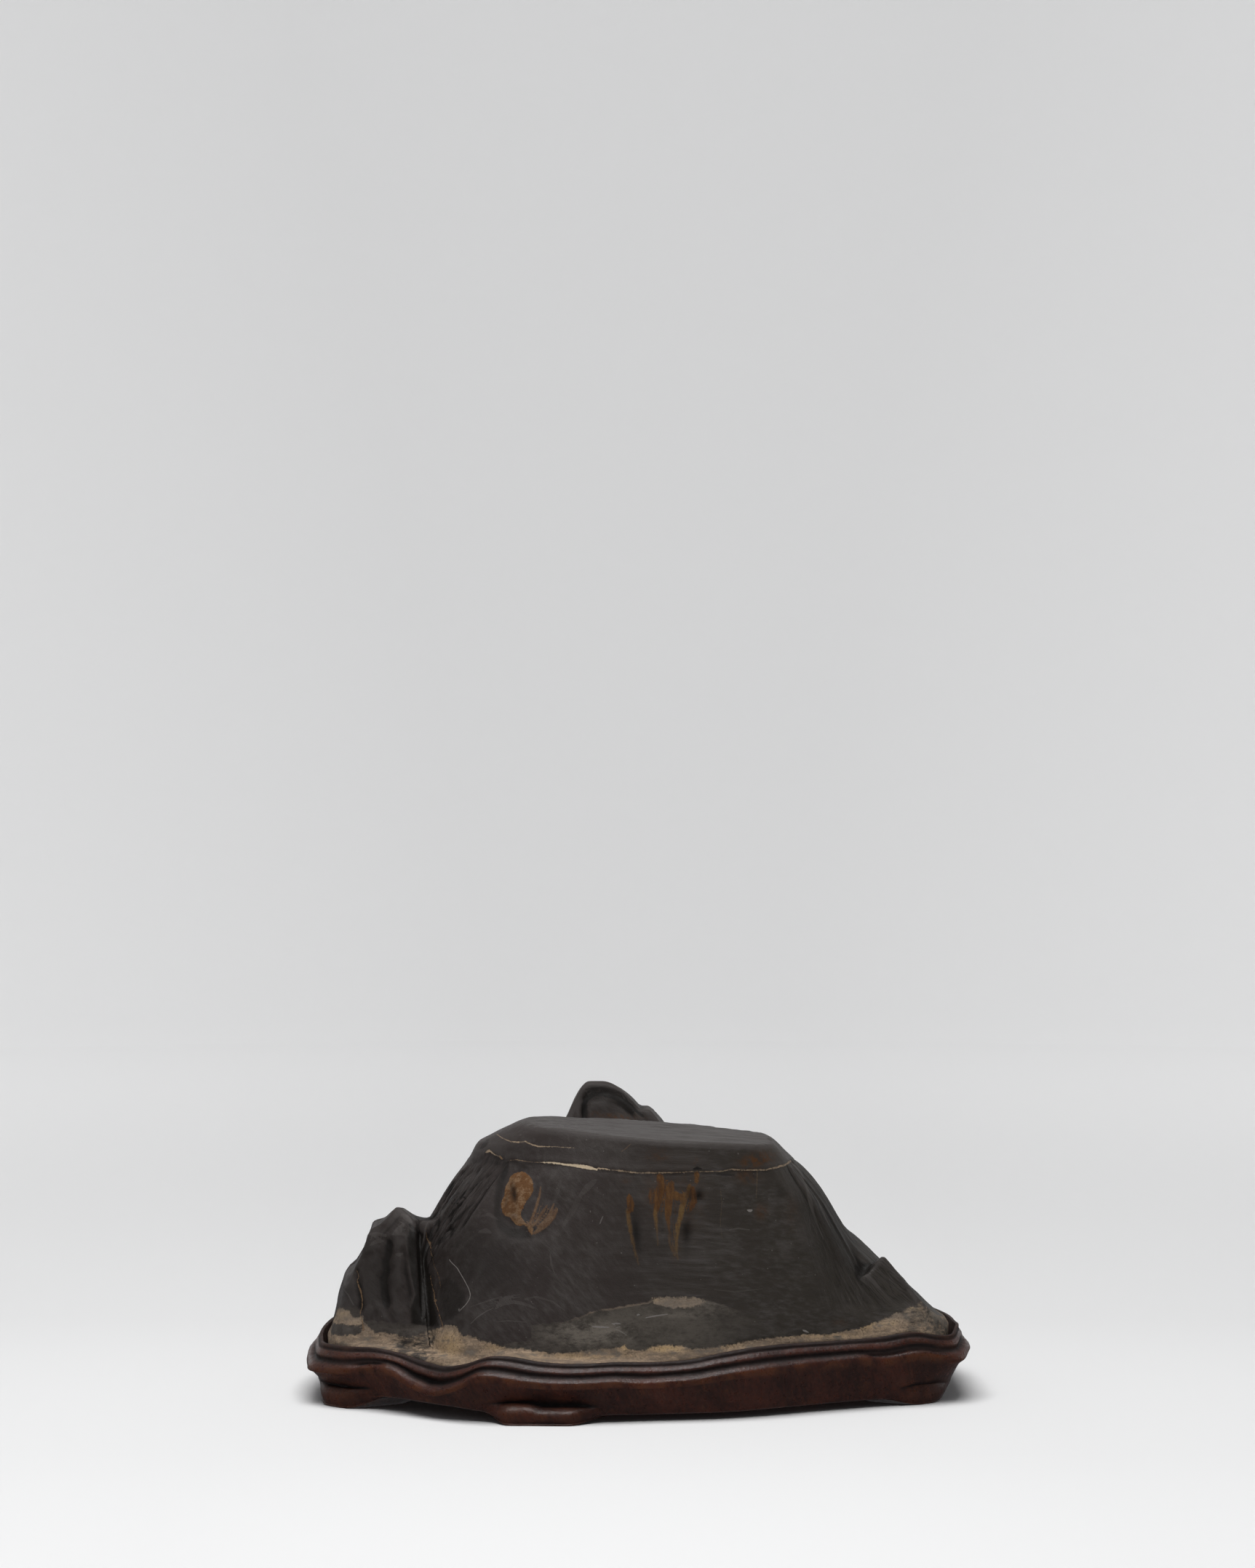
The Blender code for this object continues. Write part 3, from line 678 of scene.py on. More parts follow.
    # Rusty runs: how yellow each one is stands in the place of its strength.
    RUNS: tuple[Line, ...] = (
        Line(((865, 1644), (867, 1658), (865, 1667)), (0.9, 1.3, 1.0), 0.1),
        Line(((863, 1660), (865, 1683), (867.5, 1699), (871.5, 1716), (875.6, 1732), (878, 1741)),
             (0.4, 0.6, 0.5, 0.4, 0.3, 0.1), 0.8),
        Line(((906.5, 1616), (908.5, 1630), (904.5, 1650), (902, 1664)), (1.0, 1.8, 1.5, 0.9), 0.1),
        Line(((902, 1652), (901.5, 1667), (902, 1683), (903, 1699), (904, 1714)),
             (0.5, 0.75, 0.45, 0.2, 0.1), 0.75),
        Line(((896, 1634), (893, 1646), (895, 1656)), (0.3, 0.6, 0.2), 0.0),
        Line(((923, 1625), (920.5, 1642), (918.7, 1658), (917.7, 1675), (920, 1691), (922.5, 1704)),
             (0.9, 1.8, 1.3, 0.8, 0.4, 0.2), 0.15),
        Line(((924, 1640), (932, 1646), (940, 1646)), (1.0, 1.6, 1.2), 0.25),
        Line(((948.5, 1629), (943.5, 1644), (937.5, 1660)), (0.6, 0.8, 0.8), 0.45),
        Line(((938, 1656), (935, 1675), (931, 1688), (930, 1702), (930, 1722), (932, 1734)),
             (0.9, 0.8, 0.7, 0.5, 0.3, 0.1), 0.95),
        Line(((951.5, 1632), (954.5, 1652), (947, 1667)), (0.6, 1.0, 0.5), 0.0),
        Line(((957.5, 1612), (958, 1626)), (0.75, 0.7), 0.2),
        Line(((919, 1696), (922, 1712), (926, 1726)), (0.15, 0.3, 0.1), 0.6),
    )
    CREAM_TOP: Points = (
        (425, 1835), (455, 1835), (470, 1837), (496, 1834), (502, 1822), (508, 1827), (516, 1833),
        (530, 1832), (548, 1837), (562, 1840), (574, 1836), (586, 1831), (597, 1828), (606, 1825),
        (613, 1823), (620, 1821.5), (627, 1825), (632, 1831), (635, 1837), (642, 1836),
        (655, 1841), (672, 1846), (690, 1851), (705, 1854), (722, 1854), (735, 1857), (760, 1861),
        (790, 1860), (811, 1856), (852, 1853), (858, 1850), (866, 1856), (887, 1857), (895, 1851),
        (915, 1849), (942, 1851), (950, 1856), (981, 1853), (1002, 1850), (1018, 1846),
        (1040, 1842), (1063, 1840), (1093, 1838), (1104, 1835), (1140, 1835), (1159, 1831),
        (1181, 1827), (1193, 1823), (1206, 1818), (1220, 1812), (1231, 1807), (1241, 1803),
        (1250, 1798), (1260, 1793), (1268, 1789), (1345, 1789),
    )
    CREAM_PATCHES: tuple[Points, ...] = (
        ((452, 1812), (458, 1803), (466, 1798), (473, 1800), (478, 1801), (480, 1807), (484, 1812),
         (494, 1811), (498, 1809), (499, 1822), (480, 1822), (462, 1820), (450, 1822)),
        ((897, 1785), (905, 1783.5), (942, 1783.5), (960, 1785), (972, 1789), (961, 1795),
         (946, 1797), (926, 1799), (913, 1797), (899, 1791)),
    )
    GREY_PATCHES: tuple[Points, ...] = (
        ((455, 1796), (492, 1798), (500, 1816), (522, 1817), (552, 1819), (584, 1822), (597, 1826),
         (600, 1872), (430, 1872), (430, 1796)),
        ((600, 1826), (635, 1838), (670, 1843), (691, 1849), (707, 1846), (722, 1845), (730, 1838),
         (731, 1822), (746, 1820), (766, 1819), (781, 1816), (797, 1811), (809, 1805),
         (824, 1801), (840, 1799), (856, 1796), (875, 1793), (891, 1790), (905, 1784),
         (960, 1785), (1000, 1796), (1040, 1812), (1090, 1832), (1190, 1820), (1345, 1785),
         (1345, 1872), (600, 1885)),
    )
    # Strength of the pale crust from left to right: picture coordinate across, and its share.
    CREAM_STRENGTH: Points = (
        (440, 0.85), (500, 0.95), (535, 0.75), (555, 0.35), (590, 0.45), (615, 1.0), (690, 0.9),
        (740, 0.75), (800, 0.85), (850, 1.0), (945, 1.0), (1000, 0.8), (1180, 0.85),
        (1240, 0.62), (1275, 0.4), (1320, 0.34),
    )
    OCHRE: Spots = (
        ((618, 1848), (16, 16), 0.7), ((680, 1852), (14, 4), 0.4), ((858, 1852), (8, 5), 0.9),
        ((915, 1854), (26, 5), 1.0), ((800, 1864), (60, 4), 0.5), ((1000, 1850), (22, 4), 0.4),
        ((1120, 1836), (60, 3), 0.5),
        ((1190, 1822), (22, 6), 0.7), ((1250, 1798), (20, 5), 0.8), ((497, 1770), (3, 12), 0.6),
        ((468, 1806), (9, 5), 0.6), ((900, 1786), (4, 3), 0.8), ((1224, 1818), (10, 4), 0.5),
    )
    # Paler parts of the grey crust.
    PALE: Spots = (
        ((800, 1834), (60, 18), 1.0), ((690, 1850), (40, 6), 0.8), ((930, 1808), (50, 5), 0.4),
        ((980, 1792), (26, 6), 0.6), ((560, 1836), (50, 12), 0.6), ((470, 1828), (30, 6), 0.3),
        ((1000, 1803), (30, 8), 0.4), ((1270, 1812), (40, 20), 0.8),
    )
    STAINS: Spots = (
        ((1044, 1594), (18, 9), 0.85, -12), ((1028, 1598), (14, 7), 0.4),
        ((1026, 1618), (14, 8), 0.6, 10), ((1046, 1666), (8, 9), 0.55),
        ((905, 1592), (14, 4), 0.3), ((900, 1640), (14, 26), 0.28),
        ((940, 1650), (26, 40), 0.22), ((860, 1624), (6, 3), 0.35),
        ((1088, 1668), (10, 22), 0.15), ((929, 1718), (5, 14), 0.3),
        ((957, 1600), (3, 6), 0.5), ((905, 1585), (16, 8), 0.15),
        ((1155, 1819), (8, 4), 0.3), ((851, 1535), (26, 2.2), 0.9, 2),
        ((818, 1531), (10, 1.5), 0.4),
    )
    # Painted shade: dark spots where shade falls in hollows, channels and holes, on the flanks, the crag's
    # front, the cap and the far peak; the pit in the tan lining is partly its own dark brown.
    SHADOWS: Spots = (
        ((948, 1643), (3.5, 9), 0.9, -4), ((945, 1690), (8, 15), 1.0, 6), ((944, 1712), (6, 12), 0.4, 4),
        ((961, 1646), (7, 8), 1.0), ((874, 1694), (6, 26), 0.95, -6),
        ((1074, 1638), (9, 8), 0.35), ((705, 1640), (5.2, 15), 1.0, -10),
        ((695, 1650), (3.6, 12), 0.5, 4), ((1158, 1694), (28, 80), 0.48, -32),
        ((704, 1664), (10, 4), 0.3, 20),
        ((716, 1618), (7, 2), 0.3, 10), ((484, 1776), (7, 16), 0.35, -20),
        ((996, 1615), (20, 2.2), 0.3), ((650, 1740), (70, 60), 0.6), ((640, 1690), (30, 26), 0.15),
        ((640, 1820), (20, 10), 0.3), ((900, 1730), (34, 40), 0.12),
        ((704, 1676), (9, 4), 0.4, 20), ((520, 1755), (38, 60), 0.6), ((715, 1581), (50, 16), 0.3),
        ((546, 1690), (40, 16), 0.2),
        ((836, 1516), (24, 7), 0.4, 4), ((900, 1588), (240, 11), 0.14, 3),
        ((815, 1500), (30, 10), 0.45, -20), ((872, 1516), (24, 12), 0.35, 30),
    )
    # The line where the fibrous left flank meets the front face, and the folds of the relief.
    FLANK_EDGE: Points = ((700, 1585), (695, 1600), (672, 1636), (640, 1684), (612, 1712), (600, 1730))
    FLANK_FOLDS: tuple[Fold, ...] = (
        Fold(((697, 1602), (672, 1640), (640, 1688), (612, 1716)), 0.35, 1.8),
    )
    HOLLOW_PITS: Spots = (((705, 1642), (4, 13), -0.9, -10), ((696, 1645), (3, 10), -0.35, 4))
    CHANNELS: tuple[Fold, ...] = (
        Fold(((876, 1664), (878, 1690), (881, 1722)), -0.3, 1.8),
        Fold(((948, 1640), (950, 1664), (947, 1684), (944, 1704)), -0.4, 1.8),
        Fold(((910, 1640), (909, 1668), (911, 1694)), -0.35, 1.0),
        Fold(((928, 1664), (928, 1690)), -0.25, 0.9),
    )
    HOLES: Spots = (((961, 1646), (6, 8), -0.8), ((958, 1607), (5, 2), -0.5))
    PITTED: Spots = (((1030, 1618), (16, 8), -0.3),)
    # Nested gables under the crag's summit, a brow, folds down its steep front, and its low wing.
    CRAG_FOLDS: tuple[Fold, ...] = (
        Fold(((522, 1701), (536, 1687), (551, 1669)), 0.5, 0.25, 1.6),
        Fold(((551, 1669), (566, 1683), (588, 1702)), 0.6, 0.25, 1.6),
        Fold(((539, 1698), (549, 1690), (559, 1684.5)), 0.5, 0.25, 1.4),
        Fold(((559, 1684.5), (564, 1694), (568, 1708)), 0.6, 0.25, 1.4),
        Fold(((505, 1692), (520, 1688), (532, 1679)), 0.3, 0.3, 2.0),
        Fold(((503, 1699), (526, 1699.5), (542, 1699), (558, 1698)), 0.2, 0.8),
        Fold(((536, 1712), (530, 1735), (528, 1762), (529, 1790)), -0.9, 1.8),
        Fold(((550, 1712), (548, 1750), (547, 1800)), 0.5, 2.4),
        Fold(((512, 1716), (508, 1750), (508, 1800)), 0.5, 2.6),
        Fold(((561, 1702), (563, 1730), (567, 1756), (572, 1778), (569, 1802)), 0.6, 0.9),
        Fold(((500, 1727), (520, 1719), (534, 1724)), -0.25, 0.7),
        Fold(((537, 1724), (550, 1720), (561, 1728)), -0.25, 0.7),
        Fold(((466, 1762), (478, 1779), (489, 1798)), 0.7, 0.3, 4.0),
        Fold(((490, 1746), (491, 1762), (496, 1776), (497, 1796)), -0.55, 1.0),
    )
    CLEFT_FOLDS: tuple[Fold, ...] = (
        Fold(((585.5, 1686), (587, 1697), (591, 1717), (596, 1739)), -0.3, 0.5),
        Fold(((590, 1752), (593, 1766), (597, 1782), (603, 1808), (607, 1827)), -0.3, 0.5),
    )
    OUTER_ARCH: Points = (
        (800, 1540), (800, 1508), (806, 1499.5), (815, 1495.6), (829, 1497), (843, 1500.7),
        (861, 1507.6), (879, 1523.6), (889, 1536),
    )
    INNER_ARCH: Points = (
        (801, 1540), (801.3, 1521), (807, 1514.5), (815, 1510), (833, 1508.7), (847, 1514.5),
        (862, 1524), (872, 1534),
    )
    DOME: Spots = (((827, 1517), (22, 7), 0.5),)
    PEAK_FOLDS: tuple[Fold, ...] = (Fold(((802, 1512), (801, 1538)), -0.35, 0.7),)
    # Painted shade with a firmer edge, in the cleft, in a fold of the crag, round the hollow and in the
    # valley beside the cleft: outline, softness in millimetres and strength.
    DARKS: tuple[tuple[Points, float, float], ...] = (
        (((560, 1700), (564, 1690), (578, 1695), (584, 1712), (588, 1735), (592, 1760), (596, 1785),
          (601, 1808), (604, 1824), (566, 1823), (565, 1800), (571, 1778), (566, 1756),
          (562, 1730)), 1.0, 1.0),
        (((526, 1728), (532, 1714), (541, 1720), (537, 1740), (534, 1762), (532, 1790),
          (527, 1803), (525, 1770)), 2.4, 0.45),
        (((690, 1606), (698, 1600), (699, 1610), (693, 1626), (688, 1645), (686, 1660), (690, 1675),
          (700, 1686), (715, 1690), (731, 1700), (716, 1705), (698, 1701), (684, 1690),
          (678, 1670), (679, 1645), (684, 1622)), 1.3, 0.7),
        (((600, 1764), (612, 1752), (630, 1760), (643, 1780), (638, 1800), (622, 1818),
          (608, 1816), (602, 1790)), 3.0, 0.75),
    )


@dataclass
class Relief:
    """What wears and shapes the stone's skin, as heights along its normals in millimetres."""

    form: StoneForm
    points: Array
    normals: Array
    peak_unit: float = 0.27  # millimetres on the far peak for one unit of the picture

    def __post_init__(self) -> None:
        """Works out where each point is seen, and which part of the stone it is on."""
        p = self.points
        self.noise = Noise(7)
        self.x, self.y, self.z = np.moveaxis(p, -1, 0)
        self.u, self.v = VIEW.project(p)
        toward = np.array(VIEW.place) - p
        toward = toward / np.linalg.norm(toward, axis=-1, keepdims=True)
        seen = ease(0.0, 0.2, (toward * self.normals).sum(axis=-1))
        self.near = ease(14, 6, self.y)
        self.front = seen * self.near
        self.on_peak = seen * ease(30, 34, self.y)
        self.on_crag = ease(-69, -74, self.x) * ease(-20, -26, self.y)
        self.round = polar(self.x, self.y, self.form.top_centre)[1]
        turn = stack(np.cos(self.round), np.sin(self.round), 0 * self.u)
        self.flow = turn * 60 + stack(0, 0, self.z)
        seat_turn = polar(self.x, self.y, self.form.centre)[1]
        self.over_rim = self.z - self.form.rim(seat_turn)

    def rough(self, size: float, octaves: int = 2, shift: float = 0.0) -> Array:
        """Noise that is the same in every direction, `size` millimetres to a cell."""
        return self.noise.fractal(self.points / size + shift, octaves)

    def along_flow(self, across: float, along: float, octaves: int = 2) -> Array:
        """Noise drawn out down the slopes: `across` and `along` are its cell sizes."""
        scaled = self.flow / np.array([across, across, along])
        return self.noise.fractal(scaled, octaves)

    def in_view(self, turn: float, across: float, along: float) -> Array:
        """Noise drawn out in one direction on the front, `turn` degrees up from level."""
        c, s = math.cos(math.radians(turn)), math.sin(math.radians(turn))
        run, rise = self.x * c + self.z * s, self.z * c - self.x * s
        return self.noise.fractal(stack(run / along, rise / across, self.y / along))

    def folds(self, folds: Sequence[Fold]) -> Array:
        """Ridges, grooves and steps, added up."""
        total = np.zeros_like(self.u)
        for fold in folds:
            signed, share = beside(fold.course, self.u, self.v)
            signed = signed * VIEW.unit
            if fold.reach:
                ends = ease(0.0, 0.12, share) * ease(1.0, 0.88, share)
                fade = np.exp(np.minimum(signed, 0) / fold.reach)
                total += fold.height * ease(fold.width, -fold.width, signed) * fade * ends
            else:
                total += fold.height * np.exp(-(signed / fold.width) ** 2)
        return total

    def body(self) -> Array:
        """Broad swells of the whole stone, quieter on the front face."""
        calm = 1 - 0.55 * self.front * (1 - self.on_crag)
        return calm * (0.45 * self.rough(26) + 0.16 * self.rough(7, shift=9))

    def cap(self) -> Array:
        """The cap stands slightly proud above the main vein, all round."""
        signed, _ = beside(Marks.MAIN_VEIN, self.u, self.v)
        wander = 1.6 * self.noise.plain(self.points / 18)
        behind = self.form.vein_height + wander - self.z
        below = self.front * signed * VIEW.unit + (1 - self.front) * behind
        self.below_vein = below
        high = ease(60, 72, self.z)
        return high * (0.34 * ease(0.25, -0.25, below) * np.exp(np.minimum(below, 0) / 7)
                       - 0.15 * np.exp(-((below - 0.5) / 0.5) ** 2))

    def flanks(self) -> Array:
        """Fibrous folds down the left flank, long ridges down the right one, looser ones behind."""
        side = np.cos(self.round)
        below = ease(-1, 3, self.below_vein) * ease(2, 8, self.over_rim)
        notch, _ = beside(Marks.FLANK_EDGE, self.u, self.v)
        left_of_notch = ease(-1.2, 1.2, notch * VIEW.unit)
        left = ease(0.55, 0.8, -side) * below * (1 - self.on_crag)
        left = left * (1 - self.front * (1 - left_of_notch))
        fibre = self.along_flow(1.5, 15)
        slit = ease(0.80, 0.97, ridge(self.along_flow(2.6, 17, 1)))
        broad = self.along_flow(5, 34, 1)
        lower = ease(86, 66, self.z)
        relief = left * (0.5 * broad + lower * (0.46 * fibre - 0.9 * slit) + 0.14 * fibre)
        right = ease(0.80, 0.93, side) * below * ease(30, 36, self.z)
        relief += right * (0.55 * self.along_flow(4.2, 60, 1) + 0.16 * self.along_flow(1.6, 30)
                           - 0.45 * ease(0.30, 0.75, self.along_flow(3.4, 90, 1)))
        back = ease(0.1, 0.6, np.sin(self.round)) * below
        relief += back * (0.7 * self.along_flow(6, 44)
                          - 0.4 * ease(0.30, 0.75, self.along_flow(3, 60, 1)))
        self.left, self.right, self.back = left, right, back
        return relief + self.folds(Marks.FLANK_FOLDS) * self.front

    def face(self) -> Array:
        """Faint sweeps on the front face and its lower right, and the tilted strokes on its left."""
        face = self.front * (1 - self.on_crag) * (1 - self.left) * (1 - self.right)
        leftward = ease(860, 700, self.u) * ease(1, 4, self.below_vein)
        strokes = self.in_view(48, 2.2, 16)
        level = self.in_view(-3, 2.5, 22)
        return face * (0.10 * strokes * leftward + 0.05 * level * (1 - leftward))

    def hollow(self) -> Array:
        """The hollow with its tan lining, its pit and its fingers."""
        dish = inside(Marks.HOLLOW, self.u, self.v) * VIEW.unit
        self.tan = patch_depth((Marks.TAN,), self.u, self.v, self.front)
        depth = 0.45 * ease(-0.6, 1.8, self.tan) - 0.65 * ease(-3.4, 3.4, dish)
        depth += 0.12 * ease(0, 0.6, self.tan) * self.rough(1.3)
        raised = [Fold(finger.course, 0.25, 1.0) for finger in Marks.FINGERS]
        return (depth + self.folds(raised) + spots(Marks.HOLLOW_PITS, self.u, self.v)) * self.front

    def drips(self) -> Array:
        """The rusty runs below the vein, with channels and a small hole beside them."""
        pitted = spots(Marks.PITTED, self.u, self.v) * ridge(self.noise.plain(self.points / 1.6))
        channels = self.folds(Marks.CHANNELS) + spots(Marks.HOLES, self.u, self.v)
        return (channels + pitted) * self.front

    def crag_face(self) -> Array:
        """Nested gables under the crag's summit, a brow, and folds down its steep front."""
        grain = 0.10 * self.in_view(70, 1.4, 9) + 0.16 * self.rough(3.5)
        return self.front * self.on_crag * (self.folds(Marks.CRAG_FOLDS) + grain)

    def cleft_side(self) -> Array:
        """Creases in the wall between the cleft and the front face."""
        return self.folds(Marks.CLEFT_FOLDS) * self.front * ease(-74, -71, self.x)

    def top(self) -> Array:
        """Fine level ripples on the flat top."""
        flat = ease(0.86, 0.96, self.normals[..., 2]) * ease(80, 84, self.z)
        slant = stack((self.x + 0.5 * self.y) / 17, (self.y - 0.16 * self.x) / 2.2, self.z / 9)
        self.flat = flat * ease(20, 10, self.y)
        return self.flat * (0.13 * self.noise.fractal(slant, 3) + 0.12 * self.rough(8))

    def peak_face(self) -> Array:
        """Nested arches on the front of the far peak, round a small smooth dome."""
        arches = np.zeros_like(self.u)
        for course, depth in ((Marks.OUTER_ARCH, 0.9), (Marks.INNER_ARCH, 0.7)):
            signed, _ = beside(course, self.u, self.v)
            signed = signed * self.peak_unit
            arches -= depth * (ease(-0.15, 0.35, signed) * np.exp(-np.clip(signed, 0, None) / 2.2))
        arches += spots(Marks.DOME, self.u, self.v) + self.folds(Marks.PEAK_FOLDS)
        arches += 0.06 * self.in_view(0, 0.8, 12)
        return arches * self.on_peak * ease(1490, 1494, self.v) * ease(892, 884, self.u)

    def crust(self) -> Array:
        """The matte crust near the seat, a little eaten away and rough."""
        grey = patch_depth(Marks.GREY_PATCHES, self.u, self.v, self.front)
        cream = patch_depth(Marks.CREAM_PATCHES, self.u, self.v, self.front)
        below = under(Marks.CREAM_TOP, self.u, self.v) * VIEW.unit
        cream = np.maximum(cream, np.where(self.front > 0.5, np.clip(below, -6, 6), -6))
        turn = polar(self.x, self.y, self.form.centre)[1]
        ring = stack(2.6 * np.cos(turn), 2.6 * np.sin(turn), 0 * turn)
        leftward = np.exp(-((np.abs(turn) / math.pi - 1) / 0.12) ** 2)
        lip = 3.0 + 3.0 * self.noise.fractal(ring, 3) + 5 * leftward
        lip = np.maximum(lip, 1.4) + 5 * np.exp(-(turn / 0.35) ** 2)
        behind = lip - self.over_rim
        blend = self.front
        self.grey = grey * blend + (1 - blend) * np.clip(behind + 2.0, -6, 6)
        self.cream = cream * blend + (1 - blend) * np.clip(behind, -6, 6)
        rough = self.rough(1.7, 3)
        pits = ease(0.72, 0.95, ridge(self.noise.plain(self.points / 1.9 + 31)))
        weathered = np.clip(ease(-0.1, 0.5, self.cream) + 0.6 * ease(-0.1, 0.8, self.grey), 0, 1)
        return -0.22 * weathered + weathered * (0.13 * rough - 0.16 * pits * ease(0, 0.6, self.cream))

    def heights(self) -> Array:
        """All the relief together. It dies out where the stone goes down into its seat."""
        total = self.body() + self.cap() + self.flanks() + self.face() + self.hollow() + self.drips()
        total = total + self.crag_face() + self.cleft_side() + self.top() + self.peak_face() + self.crust()
        total = np.where(self.over_rim > 0, total, np.minimum(total, 0))
        return total * ease(-1.5, 1.5, self.over_rim)


def wrap_skin(name: str, points: Array, fields: dict[str, Array]) -> bpy.types.Object:
    """Wraps a grid round into a closed body.

    Args:
        name: The piece's name.
        points: Ring by ring, the points round it in millimetres; the first and the last ring are
            each one point, and each ring ends on its own first point.
        fields: Vectors to keep for each point, by name.

    Returns:
        The new object, with its place in its mesh.
    """
    rings, count = points.shape[:2]
    bpy.ops.object.select_all(action="DESELECT")
    bpy.ops.mesh.primitive_grid_add(x_subdivisions=count - 1, y_subdivisions=rings - 1, size=1)
    piece = bpy.context.object
    piece.name = piece.data.name = name
    piece.data.vertices.foreach_set("co", (points * MM).astype(np.float32).ravel())
    for field, values in fields.items():
        vectors = piece.data.attributes.new(field, "FLOAT_VECTOR", "POINT").data
        vectors.foreach_set("vector", values.astype(np.float32).ravel())
    bpy.ops.object.mode_set(mode="EDIT")
    bpy.ops.mesh.select_all(action="SELECT")
    bpy.ops.mesh.remove_doubles(threshold=1e-6)
    bpy.ops.mesh.normals_make_consistent(inside=False)
    bpy.ops.object.mode_set(mode="OBJECT")
    bpy.ops.object.shade_smooth()
    piece.location = (0, 0, 0)
    return piece


# --- Node trees ----------------------------------------------------------------------------------
Socket = bpy.types.NodeSocket
Colour = tuple[float, float, float]


class Graph:
    """Short calls to put nodes in a tree. A plain number or colour is set on the socket itself."""

    def __init__(self, tree: bpy.types.NodeTree) -> None:
        """Works in `tree`."""
        self.tree = tree

    def put(self, socket: Socket, value: object) -> None:
        """Links a socket to another one, or sets it to a constant."""
        if isinstance(value, bpy.types.NodeSocket):
            self.tree.links.new(value, socket)
        elif isinstance(value, tuple) and len(value) == 3 and socket.type == "RGBA":
            socket.default_value = (*value, 1.0)
        else:
            socket.default_value = value

    def node(self, kind: str, sockets: Optional[dict] = None, **settings: object) -> bpy.types.Node:
        """Adds a node, with its settings and its input sockets by name or number."""
        node = self.tree.nodes.new("ShaderNode" + kind)
        for key, value in settings.items():
            setattr(node, key, value)
        for key, value in (sockets or {}).items():
            self.put(node.inputs[key], value)
        return node

    def math(self, operation: str, *values: object) -> Socket:
        """Numbers taken into one sum, each with what came before it."""
        total = values[0]
        for value in values[1:]:
            total = self.node("Math", {0: total, 1: value}, operation=operation).outputs[0]
        return total

    def times(self, *values: object) -> Socket:
        """Numbers multiplied together."""
        return self.math("MULTIPLY", *values)

    def plus(self, *values: object) -> Socket:
        """Numbers added up."""
        return self.math("ADD", *values)

    def minus(self, *values: object) -> Socket:
        """The first number less the others."""
        return self.math("SUBTRACT", *values)

    def crests(self, noise: Socket) -> Socket:
        """How far a noise is from its middle: 0 along winding lines."""
        return self.node("Math", {0: self.minus(noise, 0.5)}, operation="ABSOLUTE").outputs[0]

    def scaled(self, vector: object, scale: Sequence[float]) -> Socket:
        """A vector scaled along its axes."""
        return self.node("Mapping", {"Vector": vector, "Scale": tuple(scale)}).outputs[0]

    def tilted(self, vector: object, degrees: float) -> Socket:
        """A vector turned about Y."""
        angles = (0.0, math.radians(degrees), 0.0)
        return self.node("Mapping", {"Vector": vector, "Rotation": angles}).outputs[0]

    def noise(self, vector: object, scale: float = 1.0, detail: float = 3.0, rough: float = 0.5,
              stretch: Optional[Sequence[float]] = None) -> Socket:
        """Noise about 0.5, finer along each axis by its number in `stretch`."""
        placed = self.scaled(vector, stretch) if stretch else vector
        sockets = {"Vector": placed, "Scale": scale, "Detail": detail, "Roughness": rough}
        return self.node("TexNoise", sockets).outputs["Fac"]

    def span(self, value: object, low: object, high: object, to_low: float = 0.0,
             to_high: float = 1.0) -> Socket:
        """`value` eased from `to_low` at `low` to `to_high` at `high`."""
        sockets = {"Value": value, "From Min": low, "From Max": high, "To Min": to_low, "To Max": to_high}
        return self.node("MapRange", sockets, interpolation_type="SMOOTHSTEP").outputs[0]

    def mix(self, share: object, a: object, b: object) -> Socket:
        """A blend of two colours."""
        return self.blend(share, a, b, "RGBA", "Color")

    def blend(self, share: object, a: object, b: object, kind: str = "FLOAT",
              label: str = "Float") -> Socket:
        """A blend of two numbers, or of another kind of value that the mix node calls `label`."""
        node = self.node("Mix", data_type=kind, clamp_factor=True)
        for name, value in (("Factor_Float", share), (f"A_{label}", a), (f"B_{label}", b)):
            self.put(next(s for s in node.inputs if s.identifier == name), value)
        return next(s for s in node.outputs if s.identifier == f"Result_{label}")

    def over(self, colour: object, *layers: tuple[object, object]) -> object:
        """Lays a few colours over one, each with its share."""
        for share, upper in layers:
            colour = self.mix(share, colour, upper)
        return colour

    def vector(self, name: str) -> Socket:
        """The vector kept on the mesh under a name."""
        return self.node("Attribute", attribute_name=name, attribute_type="GEOMETRY").outputs["Vector"]

    def parts(self, vector: object) -> tuple[Socket, Socket, Socket]:
        """The three numbers of a vector."""
        outputs = self.node("SeparateXYZ", {0: vector}).outputs
        return outputs[0], outputs[1], outputs[2]

    def field(self, name: str) -> tuple[Socket, Socket, Socket]:
        """The three numbers kept on the mesh under a name."""
        return self.parts(self.vector(name))

    def in_millimetres(self) -> Socket:
        """Where the point is on the object, in millimetres."""
        return self.scaled(self.node("TexCoord").outputs["Object"], (1 / MM, 1 / MM, 1 / MM))

    def relief(self, shader: bpy.types.Node, height: Socket, strength: float) -> None:
        """Gives the shader a fine relief, from a height in millimetres."""
        sockets = {"Strength": strength, "Distance": MM, "Height": height}
        self.put(shader.inputs["Normal"], self.node("Bump", sockets).outputs[0])

    def group(self, tree: bpy.types.NodeTree, **sockets: object) -> bpy.types.bpy_prop_collection:
        """Places a shared group, with its inputs by name."""
        node = self.tree.nodes.new("ShaderNodeGroup")
        node.node_tree = tree
        for key, value in sockets.items():
            self.put(node.inputs[key.replace("_", " ").capitalize()], value)
        return node.outputs


